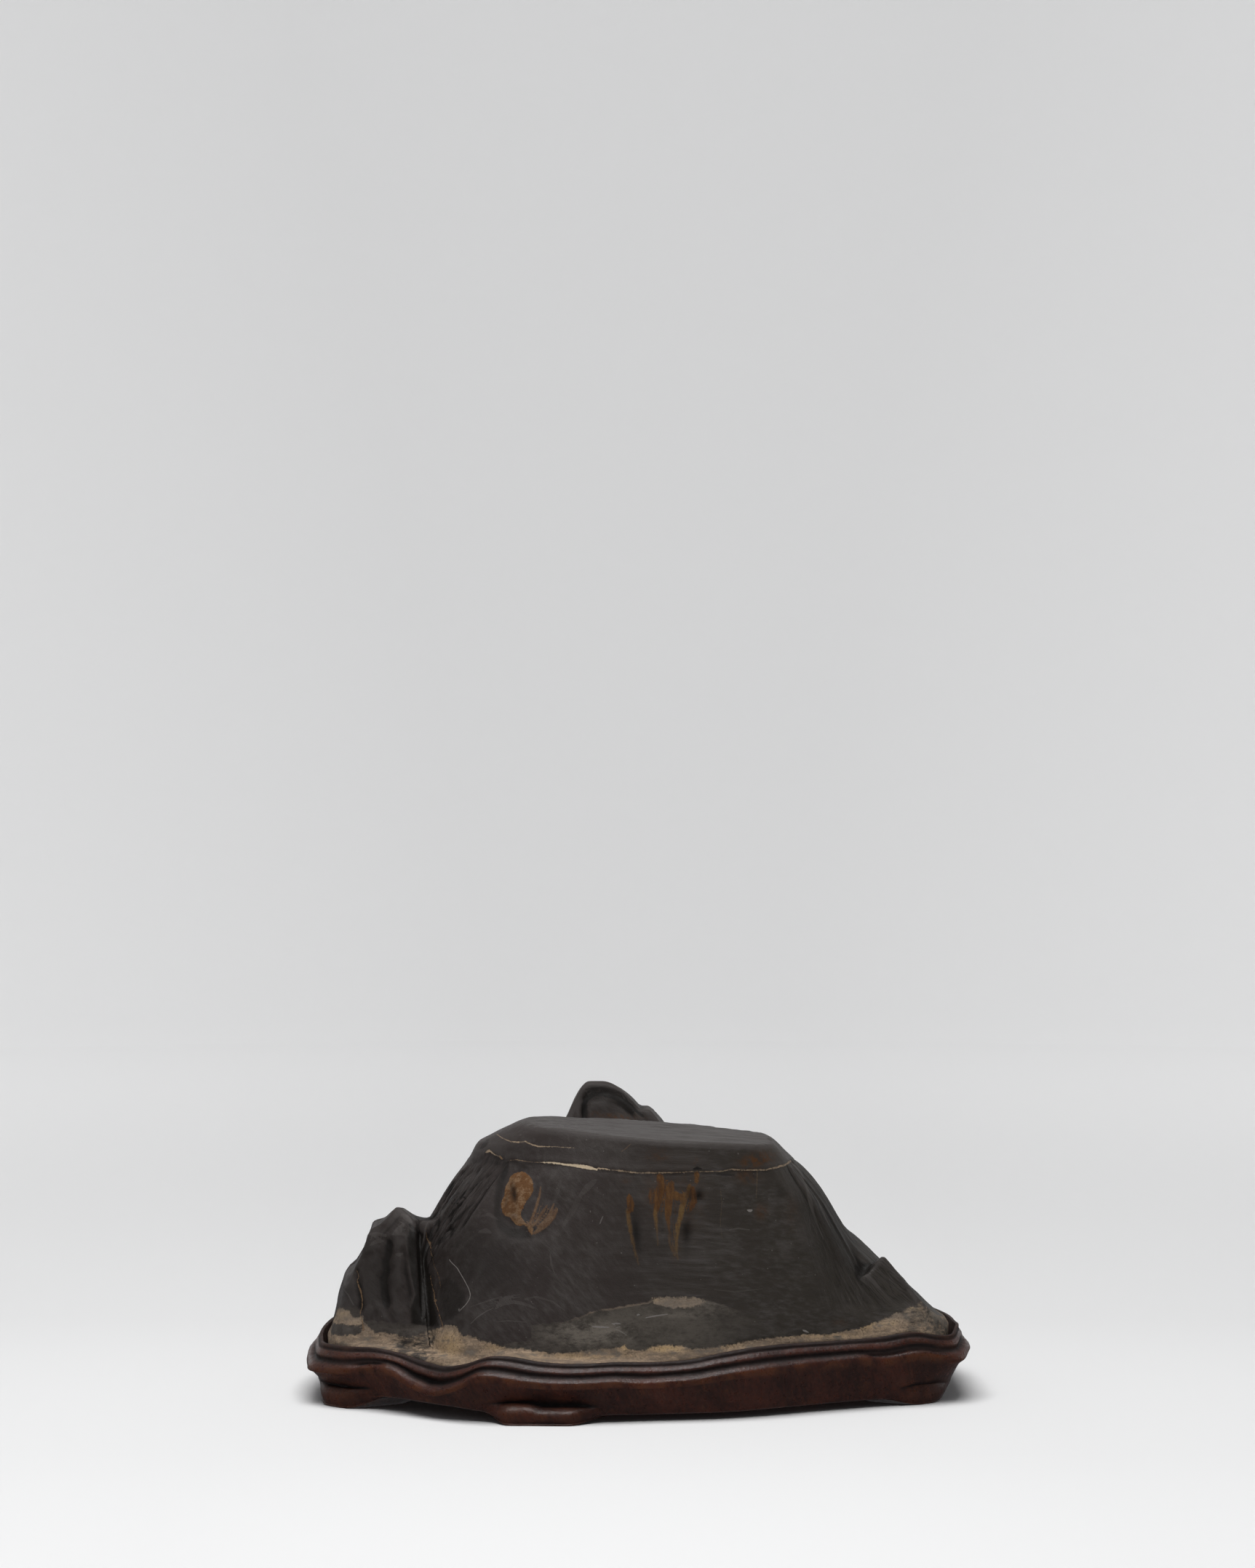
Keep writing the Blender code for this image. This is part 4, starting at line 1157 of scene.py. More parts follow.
def new_group(name: str, inputs: dict[str, float | None], outputs: Sequence[str]) -> tuple[
        bpy.types.NodeTree, Graph, bpy.types.Node, bpy.types.Node]:
    """Starts a shared node group.

    Args:
        name: The group's name.
        inputs: Its inputs with their values at first; None is a vector.
        outputs: Its outputs, all numbers.

    Returns:
        The group, a graph to build it with, its input node and its output node.
    """
    tree = bpy.data.node_groups.new(name, "ShaderNodeTree")
    for label, value in inputs.items():
        kind = "NodeSocketVector" if value is None else "NodeSocketFloat"
        socket = tree.interface.new_socket(label, in_out="INPUT", socket_type=kind)
        if value is not None:
            socket.default_value = value
    for label in outputs:
        tree.interface.new_socket(label, in_out="OUTPUT", socket_type="NodeSocketFloat")
    graph = Graph(tree)
    return tree, graph, tree.nodes.new("NodeGroupInput"), tree.nodes.new("NodeGroupOutput")


class SharedEffects:
    """Effects that both the stone and the wood use, each a node group built once."""

    def __init__(self) -> None:
        """Builds the groups."""
        self.streaks = self.build_streaks()
        self.specks = self.build_specks()
        self.drawn_line = self.build_drawn_line()
        self.drawn_patch = self.build_drawn_patch()

    @staticmethod
    def build_streaks() -> bpy.types.NodeTree:
        """Fine streaks along Z of the vector that is given: a soft value and sharp lines."""
        tree, graph, given, out = new_group(
            "streaks", {"Vector": None, "Across": 1.0, "Along": 0.1, "Sharpness": 0.5}, ["Soft", "Lines"])
        x, y, z = graph.parts(given.outputs["Vector"])
        across, along = given.outputs["Across"], given.outputs["Along"]
        placed = graph.node("CombineXYZ", {
            0: graph.times(x, across), 1: graph.times(y, across), 2: graph.times(z, along)}).outputs[0]
        crest = graph.crests(graph.noise(placed, 1.7, 2.0))
        graph.put(out.inputs["Soft"], graph.noise(placed, detail=4.0, rough=0.6))
        width = graph.times(given.outputs["Sharpness"], 0.12)
        graph.put(out.inputs["Lines"], graph.span(crest, width, 0.0))
        return tree

    @staticmethod
    def build_specks() -> bpy.types.NodeTree:
        """Small round specks or pits."""
        tree, graph, given, out = new_group("specks", {"Vector": None, "Scale": 1.0, "Size": 0.2}, ["Mask"])
        vector = given.outputs["Vector"]
        cells = graph.node("TexVoronoi", {"Vector": vector, "Scale": given.outputs["Scale"]})
        size = graph.times(given.outputs["Size"], graph.span(graph.noise(vector, 0.31, 2.0), 0.45, 0.7))
        graph.put(out.inputs["Mask"], graph.span(cells.outputs["Distance"], size, graph.times(size, 0.5)))
        return tree

    @staticmethod
    def build_drawn_line() -> bpy.types.NodeTree:
        """Draws a kept line: its signed distance, half width and strength, with a wandering edge."""
        tree, graph, given, out = new_group(
            "drawn_line", {"Signed": 0.0, "Half": 0.0, "Strength": 1.0, "Wander": 0.0, "Soft": 0.05},
            ["Mask"])
        half, soft = given.outputs["Half"], given.outputs["Soft"]
        away = graph.node("Math", {0: given.outputs["Signed"]}, operation="ABSOLUTE").outputs[0]
        depth = graph.minus(graph.plus(half, given.outputs["Wander"]), away)
        drawn = graph.span(depth, graph.times(soft, -1.0), soft)
        mask = graph.times(drawn, graph.span(half, 0.0, 0.06), given.outputs["Strength"])
        graph.put(out.inputs["Mask"], mask)
        return tree

    @staticmethod
    def build_drawn_patch() -> bpy.types.NodeTree:
        """Draws a kept patch from its depth, with a wandering edge."""
        tree, graph, given, out = new_group(
            "drawn_patch", {"Depth": 0.0, "Wander": 0.0, "Soft": 0.2}, ["Mask"])
        soft = given.outputs["Soft"]
        depth = graph.plus(given.outputs["Depth"], given.outputs["Wander"])
        graph.put(out.inputs["Mask"], graph.span(depth, graph.times(soft, -1.0), soft))
        return tree


def new_material(name: str) -> tuple[bpy.types.Material, Graph, bpy.types.Node]:
    """Starts a material, and gives its graph and its Principled shader."""
    material = bpy.data.materials.new(name)
    material.use_nodes = True
    return material, Graph(material.node_tree), material.node_tree.nodes["Principled BSDF"]


@dataclass(frozen=True)
class StoneFinish:
    """Dark waxed stone with pale crust, veins and rust. Colours are linear."""

    violet: Colour = (0.0335, 0.0262, 0.0242)
    olive: Colour = (0.0315, 0.0268, 0.0215)
    # Worn pale streaks, and painted highlight on convex edges.
    worn_and_sheen: Colour = (0.064, 0.056, 0.053)
    # Painted sheen on the flat top.
    top_sheen: Colour = (0.066, 0.060, 0.057)
    # Dark fine lines of the streaks, and painted shade in creases and slits.
    crevice_and_shade: Colour = (0.0075, 0.0065, 0.0058)
    vein: Colour = (0.50, 0.40, 0.28)
    vein_dim: Colour = (0.105, 0.062, 0.036)
    crack: Colour = (0.165, 0.102, 0.056)
    # Pale specks and scratches, and painted glints on the crag's edges.
    scratch_and_glint: Colour = (0.17, 0.155, 0.145)
    tan: Colour = (0.112, 0.054, 0.023)
    tan_light: Colour = (0.178, 0.108, 0.060)
    rust: Colour = (0.066, 0.026, 0.0075)
    rust_light: Colour = (0.115, 0.055, 0.020)
    yellow_rust: Colour = (0.122, 0.074, 0.029)
    ochre: Colour = (0.43, 0.30, 0.155)
    cream: Colour = (0.315, 0.232, 0.160)
    cream_dull: Colour = (0.15, 0.114, 0.086)
    grey: Colour = (0.14, 0.122, 0.102)
    grey_dark: Colour = (0.043, 0.037, 0.031)
    # Painted shade, laid where the shade spots and outlines fall.
    painted_shade: Colour = (0.0085, 0.0068, 0.0055)
    roughness: float = 0.52
    matte: float = 0.9
    specular: float = 0.13
    # Heights in millimetres between which the cream crust turns grey.
    cream_greys: tuple[float, float] = (25.5, 31.0)

    def build(self, effects: SharedEffects) -> bpy.types.Material:
        """Makes the material.

        Args:
            effects: The shared node groups.

        Returns:
            The material, ready to be put on the stone.
        """
        return StonePainter(self, effects).paint()


class StonePainter:
    """Paints the stone layer by layer, each one over what is there already."""

    def __init__(self, finish: StoneFinish, effects: SharedEffects) -> None:
        """Starts the material, with the noises and masks that several layers use.

        Args:
            finish: The colours and the gloss.
            effects: The shared node groups.
        """
        self.finish, self.effects = finish, effects
        self.material, self.graph, self.shader = new_material("dark_waxed_stone")
        graph = self.graph
        self.place = graph.in_millimetres()
        self.x, _, self.z = graph.parts(self.place)
        self.fine = graph.noise(self.place, 1.6, 4.0, 0.6)
        self.small = graph.noise(self.place, 0.55, 3.0, 0.55)
        self.wander = graph.minus(self.fine, 0.5)
        self.wide_wander = graph.minus(self.small, 0.5)
        self.shadow, self.edge, self.flank = graph.field("shade")
        self.ochre_share, self.pale, self.flat = graph.field("tint")
        self.crust_depth, self.cream_depth, self.cream_share = graph.field("crust")
        self.brown, self.tan_depth, self.stain = graph.field("stain")

    def paint(self) -> bpy.types.Material:
        """Paints every layer in order and gives the material."""
        self.bare_stone()
        self.sheen_specks_and_shade()
        self.rusty_runs()
        self.lined_hollow()
        self.grey_crust()
        self.scratches_and_glints()
        self.cream_crust()
        self.veins()
        self.surface()
        return self.material

    def lay(self, share: object, colour: object) -> None:
        """Lays a colour over the stone."""
        self.colour = self.graph.mix(share, self.colour, colour)

    def drawn(self, name: str, wander: float, soft: float, strength: object = None) -> tuple[
            Socket, tuple[Socket, Socket, Socket]]:
        """Draws the lines kept under a name.

        Args:
            name: The lines' name.
            wander: How far their edges wander.
            soft: How soft their edges are, in millimetres.
            strength: How strong they are, where that isn't as kept with them.

        Returns:
            Where they are, and the three numbers kept for them.
        """
        kept = self.graph.field(name)
        mask = self.graph.group(
            self.effects.drawn_line, signed=kept[0], half=kept[1],
            strength=kept[2] if strength is None else strength,
            wander=self.graph.times(self.wander, wander), soft=soft)["Mask"]
        return mask, kept

    def patch(self, depth: Socket, wander: Socket, soft: float) -> Socket:
        """Draws a patch from the depth inside it."""
        return self.graph.group(self.effects.drawn_patch, depth=depth, wander=wander, soft=soft)["Mask"]

    def bare_stone(self) -> None:
        """Dark stone from violet to olive, worn pale in streaks; its convex edges are paler, worn and with
        painted highlight, and its creases get painted shade.
        """
        graph, finish = self.graph, self.finish
        streaks = self.effects.streaks
        down = graph.group(streaks, vector=graph.vector("flow"), across=1.5, along=0.10, sharpness=0.6)
        sweep = graph.group(streaks, vector=graph.tilted(self.place, 42), across=0.62, along=0.06,
                            sharpness=0.4)
        level = graph.group(streaks, vector=graph.tilted(self.place, 88), across=0.8, along=0.05,
                            sharpness=0.4)
        rightward = graph.span(self.x, -30.0, 25.0)
        self.streak, self.lines = (
            graph.blend(self.flank, graph.blend(rightward, sweep[part], level[part]), down[part])
            for part in ("Soft", "Lines"))
        broad = graph.noise(self.place, 0.07, 3.0, 0.55)
        tint = graph.plus(graph.span(self.x, -45.0, 60.0), graph.times(self.wide_wander, 0.5),
                          graph.minus(broad, 0.5))
        contrast = graph.plus(graph.times(self.streak, 0.9), graph.times(broad, 0.55))
        self.colour = graph.over(
            finish.violet, (tint, finish.olive),
            (graph.span(contrast, 0.60, 1.12, 0.0, 0.9), finish.worn_and_sheen),
            # Convex edges paler, worn and with painted highlight; concave creases darkened with painted
            # shade.
            (graph.span(self.edge, 0.02, 0.35, 0.0, 0.55), finish.worn_and_sheen),
            (graph.span(self.edge, -0.03, -0.45, 0.0, 0.85), finish.crevice_and_shade),
            (graph.times(self.lines, graph.blend(self.flank, 0.10, 0.28)), finish.crevice_and_shade))

    def sheen_specks_and_shade(self) -> None:
        """Painted sheen on the flat top, pale specks, painted shade in hollows and slits, and rust stains."""
        graph, finish = self.graph, self.finish
        level_lines = graph.noise(self.place, 1.0, 5.0, 0.65, (0.10, 0.55, 0.5))
        # Painted sheen on the flat top, in fine level streaks.
        self.lay(graph.times(self.flat, graph.span(level_lines, 0.34, 0.60, 0.45, 1.0)), finish.top_sheen)
        speck = graph.group(self.effects.specks, vector=self.place, scale=0.45, size=0.16)["Mask"]
        self.lay(graph.times(speck, 0.35), finish.scratch_and_glint)
        # Painted shade in hollows and on shaded faces.
        self.lay(graph.times(self.shadow, 0.95), finish.painted_shade)
        self.lay(graph.times(self.stain, graph.span(self.small, 0.3, 0.62)), finish.rust)
        # Painted shade in slits and folds.
        self.lay(self.drawn("slit", 0.5, 0.22)[0], finish.crevice_and_shade)

    def rusty_runs(self) -> None:
        """Rusty runs, yellower where they are thin, with painted shade laid over them where the shade spots
        fall.
        """
        graph, finish = self.graph, self.finish
        signed, half, yellowness = graph.field("run")
        runs = graph.noise(self.place, 1.0, 4.0, 0.6, (1.1, 1.1, 0.10))
        rust = graph.group(
            self.effects.drawn_line, signed=signed, half=half, soft=0.45,
            strength=graph.span(half, 0.0, 0.8, 0.30, 0.92),
            wander=graph.times(graph.minus(runs, 0.46), 1.6))["Mask"]
        self.rust = graph.times(rust, graph.span(runs, 0.30, 0.52, 0.55, 1.0))
        yellow = graph.times(yellowness, graph.span(self.fine, 0.36, 0.56, 0.5, 1.0))
        self.lay(self.rust, graph.over(
            finish.rust, (graph.span(runs, 0.40, 0.66, 0.0, 0.6), finish.rust_light),
            (yellow, finish.yellow_rust)))
        # Painted shade over the runs.
        self.lay(graph.times(self.shadow, self.rust, 0.9), finish.painted_shade)

    def lined_hollow(self) -> None:
        """The tan lining of the hollow, with its fingers, and painted shade in its pit."""
        graph, finish = self.graph, self.finish
        lining = self.patch(self.tan_depth, graph.times(self.wander, 0.9), 0.14)
        finger, _ = self.drawn("finger", 0.5, 0.30)
        self.tan = graph.math("MAXIMUM", lining, finger)
        browner = graph.plus(self.wide_wander, graph.times(self.brown, -0.18))
        self.lay(self.tan, graph.over(
            finish.tan, (graph.span(browner, -0.08, 0.10), finish.tan_light),
            (graph.span(self.brown, -0.2, -0.9, 0.0, 0.6), finish.cream_dull),
            (graph.times(finger, 0.45), finish.cream_dull),
            # Painted shade in the pit.
            (graph.times(self.shadow, 0.95), finish.painted_shade),
            (graph.span(self.fine, 0.50, 0.40, 0.0, 0.4), finish.rust),
            (graph.span(self.tan_depth, 1.6, 0.6, 0.0, 0.25), finish.rust_light)))

    def grey_crust(self) -> None:
        """The grey crust, with a pale upper edge left of the middle, thinner to the right."""
        graph, finish, x = self.graph, self.finish, self.x
        grain = graph.noise(self.place, 1.1, 5.0, 0.7, (0.45, 1, 1))
        patches = graph.noise(self.place, 0.20, 4.0, 0.65, (0.6, 1, 1))
        mixed = graph.plus(graph.times(grain, 0.35), graph.times(patches, 0.65))
        lightness = graph.times(graph.span(mixed, 0.36, 0.60), graph.span(self.pale, 0.0, 0.7, 0.34, 1.0))
        top_edge = graph.times(
            graph.span(self.crust_depth, 0.8, 0.2), graph.span(patches, 0.34, 0.52),
            graph.span(x, 10.0, 4.0), graph.span(x, -30.0, -12.0), 0.9)
        fade = graph.times(graph.span(x, 48.0, 12.0, 0.12, 1.0), graph.span(x, -42.0, -14.0, 0.45, 1.0))
        shown = graph.math("MAXIMUM", fade, graph.span(x, 75.0, 90.0))
        grey = self.patch(self.crust_depth, graph.times(self.wide_wander, 1.8), 0.35)
        self.grey = graph.times(grey, shown)
        self.lay(graph.times(self.grey, graph.span(grain, 0.26, 0.45, 0.55, 0.95)), graph.over(
            finish.grey_dark, (lightness, finish.grey), (top_edge, finish.cream_dull)))

    def scratches_and_glints(self) -> None:
        """Fine scratches, a dust fibre, and painted glints along the crag's wing, brow and gables."""
        self.lay(self.drawn("scratch_and_glint", 0.2, 0.10)[0], self.finish.scratch_and_glint)

    def cream_crust(self) -> None:
        """The cream crust along the foot, bitten at its edge, mottled, cracked and partly ochre."""
        graph, finish = self.graph, self.finish
        bitten = graph.plus(graph.times(self.wide_wander, 2.2), graph.times(self.wander, 1.4))
        whole = self.patch(self.cream_depth, bitten, 0.40)
        layered = graph.noise(self.place, 0.95, 6.0, 0.7, (0.20, 0.8, 1))
        mottle = graph.noise(self.place, 0.30, 4.0, 0.6, (0.6, 1, 1))
        cover = graph.plus(graph.times(layered, 0.6), graph.times(mottle, 0.5),
                           graph.times(self.cream_share, 0.55))
        self.cream = graph.times(whole, graph.span(cover, 0.68, 0.92))
        crest = graph.crests(graph.noise(self.place, 0.42, 3.0, 0.6))
        cracks = graph.times(graph.span(crest, 0.014, 0.0), graph.span(mottle, 0.45, 0.6))
        self.crust_cracks = graph.times(cracks, whole)
        brightness = graph.plus(graph.times(layered, 0.5), graph.times(mottle, 0.5),
                                graph.times(self.ochre_share, 0.12))
        self.lay(self.cream, graph.over(
            finish.cream_dull, (graph.span(brightness, 0.40, 0.62), finish.cream),
            (graph.times(self.ochre_share, graph.span(mottle, 0.30, 0.55)), finish.ochre),
            (graph.span(mottle, 0.45, 0.34, 0.0, 0.75), finish.grey),
            (graph.span(self.z, *finish.cream_greys, 0.0, 0.5), finish.grey),
            (graph.span(self.fine, 0.52, 0.34, 0.0, 0.5), finish.cream_dull),
            (graph.times(cracks, 0.6), finish.grey_dark)))

    def veins(self) -> None:
        """The pale veins, broken where they are dim, and the hairline cracks."""
        graph, finish = self.graph, self.finish
        vein, (_, _, bright) = self.drawn("vein", 0.9, 0.09, 1.0)
        broken = graph.math("MAXIMUM", graph.span(self.small, 0.40, 0.54, 0.35, 1.0),
                            graph.span(bright, 0.6, 0.9))
        self.lay(graph.times(vein, broken), graph.mix(bright, finish.vein_dim, finish.vein))
        self.lay(self.drawn("crack", 0.9, 0.10)[0], finish.crack)

    def surface(self) -> None:
        """The gloss and the finest relief: waxed on bare stone, matte on crust and rust."""
        graph, finish, shader = self.graph, self.finish, self.shader
        dull = graph.math("MAXIMUM", self.cream, graph.times(self.grey, 0.8), self.tan, self.rust)
        waxed = graph.span(self.streak, 0.3, 0.7, finish.roughness - 0.05, finish.roughness + 0.10)
        graph.put(shader.inputs["Base Color"], self.colour)
        graph.put(shader.inputs["Roughness"], graph.blend(dull, waxed, finish.matte))
        shader.inputs["Specular IOR Level"].default_value = finish.specular
        grain = graph.plus(graph.times(self.streak, graph.blend(self.flank, 0.10, 0.24)),
                           graph.times(self.fine, graph.blend(dull, 0.05, 0.18)))
        height = graph.minus(grain, graph.times(self.lines, graph.blend(self.flank, 0.02, 0.12)),
                             graph.times(self.crust_cracks, 0.2))
        graph.relief(shader, height, 0.9)


@dataclass(frozen=True)
class WoodFinish:
    """Oiled, polished hardwood, dark red brown. Colours are linear."""

    dark: Colour = (0.023, 0.0074, 0.0052)
    red: Colour = (0.060, 0.0150, 0.0078)
    amber: Colour = (0.085, 0.027, 0.0095)
    # Dark grain lines, and painted shade in the lip, the grooves and the hollows of the carving.
    grain_line_and_shade: Colour = (0.0075, 0.0042, 0.0036)
    dust: Colour = (0.10, 0.085, 0.08)
    roughness: float = 0.30
    specular: float = 0.36
    grain_tilt: float = 26.0

    def build(self, effects: SharedEffects) -> bpy.types.Material:
        """Makes the material.

        Args:
            effects: The shared node groups.

        Returns:
            The material, ready to be put on the stand.
        """
        material, graph, shader = new_material("oiled_dark_wood")
        place = graph.in_millimetres()
        grown = graph.tilted(place, self.grain_tilt)
        fibre = graph.group(effects.streaks, vector=grown, across=1.1, along=0.14, sharpness=0.5)
        vessels = graph.group(effects.streaks, vector=grown, across=2.4, along=0.30, sharpness=0.35)
        broad = graph.noise(grown, stretch=(0.09, 0.09, 0.03))
        cloud = graph.noise(place, 0.16, 3.0, 0.6)
        speck = graph.group(effects.specks, vector=place, scale=0.35, size=0.07)["Mask"]
        tone, edge, _ = graph.field("shade")

        warm = graph.plus(graph.times(fibre["Soft"], 0.6), graph.times(broad, 0.6))
        reddened = graph.plus(cloud, graph.span(graph.parts(place)[0], -55.0, -85.0, 0.0, 0.12))
        amber = graph.times(graph.span(reddened, 0.50, 0.72), graph.span(vessels["Soft"], 0.42, 0.66), 0.75)
        glow = graph.times(graph.span(tone, -0.15, -0.9), graph.span(cloud, 0.36, 0.58), 0.6)
        colour = graph.over(
            self.dark, (graph.span(warm, 0.44, 0.80), self.red), (amber, self.amber), (glow, self.amber),
            (graph.times(vessels["Lines"], 0.08), self.grain_line_and_shade),
            # Painted shade in the lip, the grooves, over the feet and in the carving's hollows.
            (graph.span(tone, 0.0, 1.0, 0.0, 0.8), self.grain_line_and_shade),
            (graph.span(edge, -0.04, -0.30, 0.0, 0.9), self.grain_line_and_shade),
            (graph.span(edge, 0.05, 0.30, 0.0, 0.25), self.amber),
            (graph.times(speck, 0.4), self.dust))
        graph.put(shader.inputs["Base Color"], colour)
        patchy = graph.span(graph.noise(place, 0.5, 4.0, 0.6), 0.3, 0.7,
                            self.roughness - 0.05, self.roughness + 0.12)
        graph.put(shader.inputs["Roughness"], graph.plus(patchy, graph.span(tone, 0.1, 0.7, 0.0, 0.30)))
        shader.inputs["Specular IOR Level"].default_value = self.specular
        height = graph.plus(graph.times(fibre["Soft"], 0.10), graph.times(vessels["Lines"], -0.02),
                            graph.times(graph.noise(place, 0.9), 0.16))
        graph.relief(shader, height, 0.8)
        return material


# --- The two pieces ------------------------------------------------------------------------------
def edge_of(points: Array, normals: Array, step: int) -> Array:
    """How far each point of a wrapped grid stands out from those `step` cells away."""
    wrapped = np.concatenate([points[:, -1 - step:-1], points, points[:, 1:1 + step]], axis=1)
    mean = 0.25 * (wrapped[:, 2 * step:] + wrapped[:, :-2 * step])
    last = len(points) - 1
    rings = np.arange(last + 1)
    mean += 0.25 * (points[np.clip(rings - step, 0, last)] + points[np.clip(rings + step, 0, last)])
    return ((points - mean) * normals).sum(axis=-1)


@dataclass
class Stone:
    """The natural stone."""

    form: StoneForm
    finish: StoneFinish
    azimuths: int = 640
    rings: int = 138

    def build(self, effects: SharedEffects) -> bpy.types.Object:
        """Builds the stone with its relief and markings, and dresses it."""
        points = self.form.surface(self.azimuths, self.rings)
        normals = normals_of(points)
        relief = Relief(self.form, points, normals)
        heights = relief.heights()
        heights[-6:] = 0
        heights[0] = heights[0, 0]
        heights[:, -1] = heights[:, 0]
        points = points + heights[..., None] * normals
        piece = wrap_skin("stone_carved_by_water", points, self.fields(relief, points))
        piece.data.materials.append(self.finish.build(effects))
        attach(piece, BODY)
        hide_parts("stone")
        return piece

    @staticmethod
    def fields(relief: Relief, points: Array) -> dict[str, Array]:
        """Everything that the material draws, for each point."""
        u, v, front = relief.u, relief.v, relief.front
        seen = np.maximum(front, relief.on_peak)
        strength = read(Marks.CREAM_STRENGTH, u) * front + 0.6 * (1 - front)
        # Painted shade: soft spots and firmer outlines, darkened towards the shade colour.
        shadow = spots(Marks.SHADOWS, u, v)
        for outline, soft, share in Marks.DARKS:
            depth = inside(outline, u, v) * VIEW.unit
            shadow = np.maximum(shadow, share * ease(-0.6 * soft, 0.6 * soft, depth))
        shadow = np.clip(shadow, 0, 1) * np.maximum(relief.near, relief.on_peak)
        stain = np.clip(spots(Marks.STAINS, u, v), 0, 1) * seen
        ochre = np.clip(spots(Marks.OCHRE, u, v), 0, 1) * front
        pale = np.clip(spots(Marks.PALE, u, v), 0, 1)
        flank = np.clip(relief.left + relief.right + relief.back, 0, 1)
        edge = edge_of(points, normals_of(points), 3)
        return {
            "flow": relief.flow,
            "crust": stack(relief.grey, relief.cream, strength),
            "stain": stack(spots(Marks.TAN_BROWN, u, v), relief.tan, stain),
            "run": line_field(Marks.RUNS, u, v, front),
            "shade": stack(shadow, edge, flank),
            "tint": stack(ochre, pale, relief.flat),
            "slit": line_field(Marks.SLITS, u, v, seen),
            "vein": line_field(Marks.VEINS, u, v, front),
            "crack": line_field(Marks.CRACKS, u, v, front),
            "scratch_and_glint": line_field(Marks.SCRATCHES_AND_GLINTS, u, v, front),
            "finger": line_field(Marks.FINGERS, u, v, front),
        }


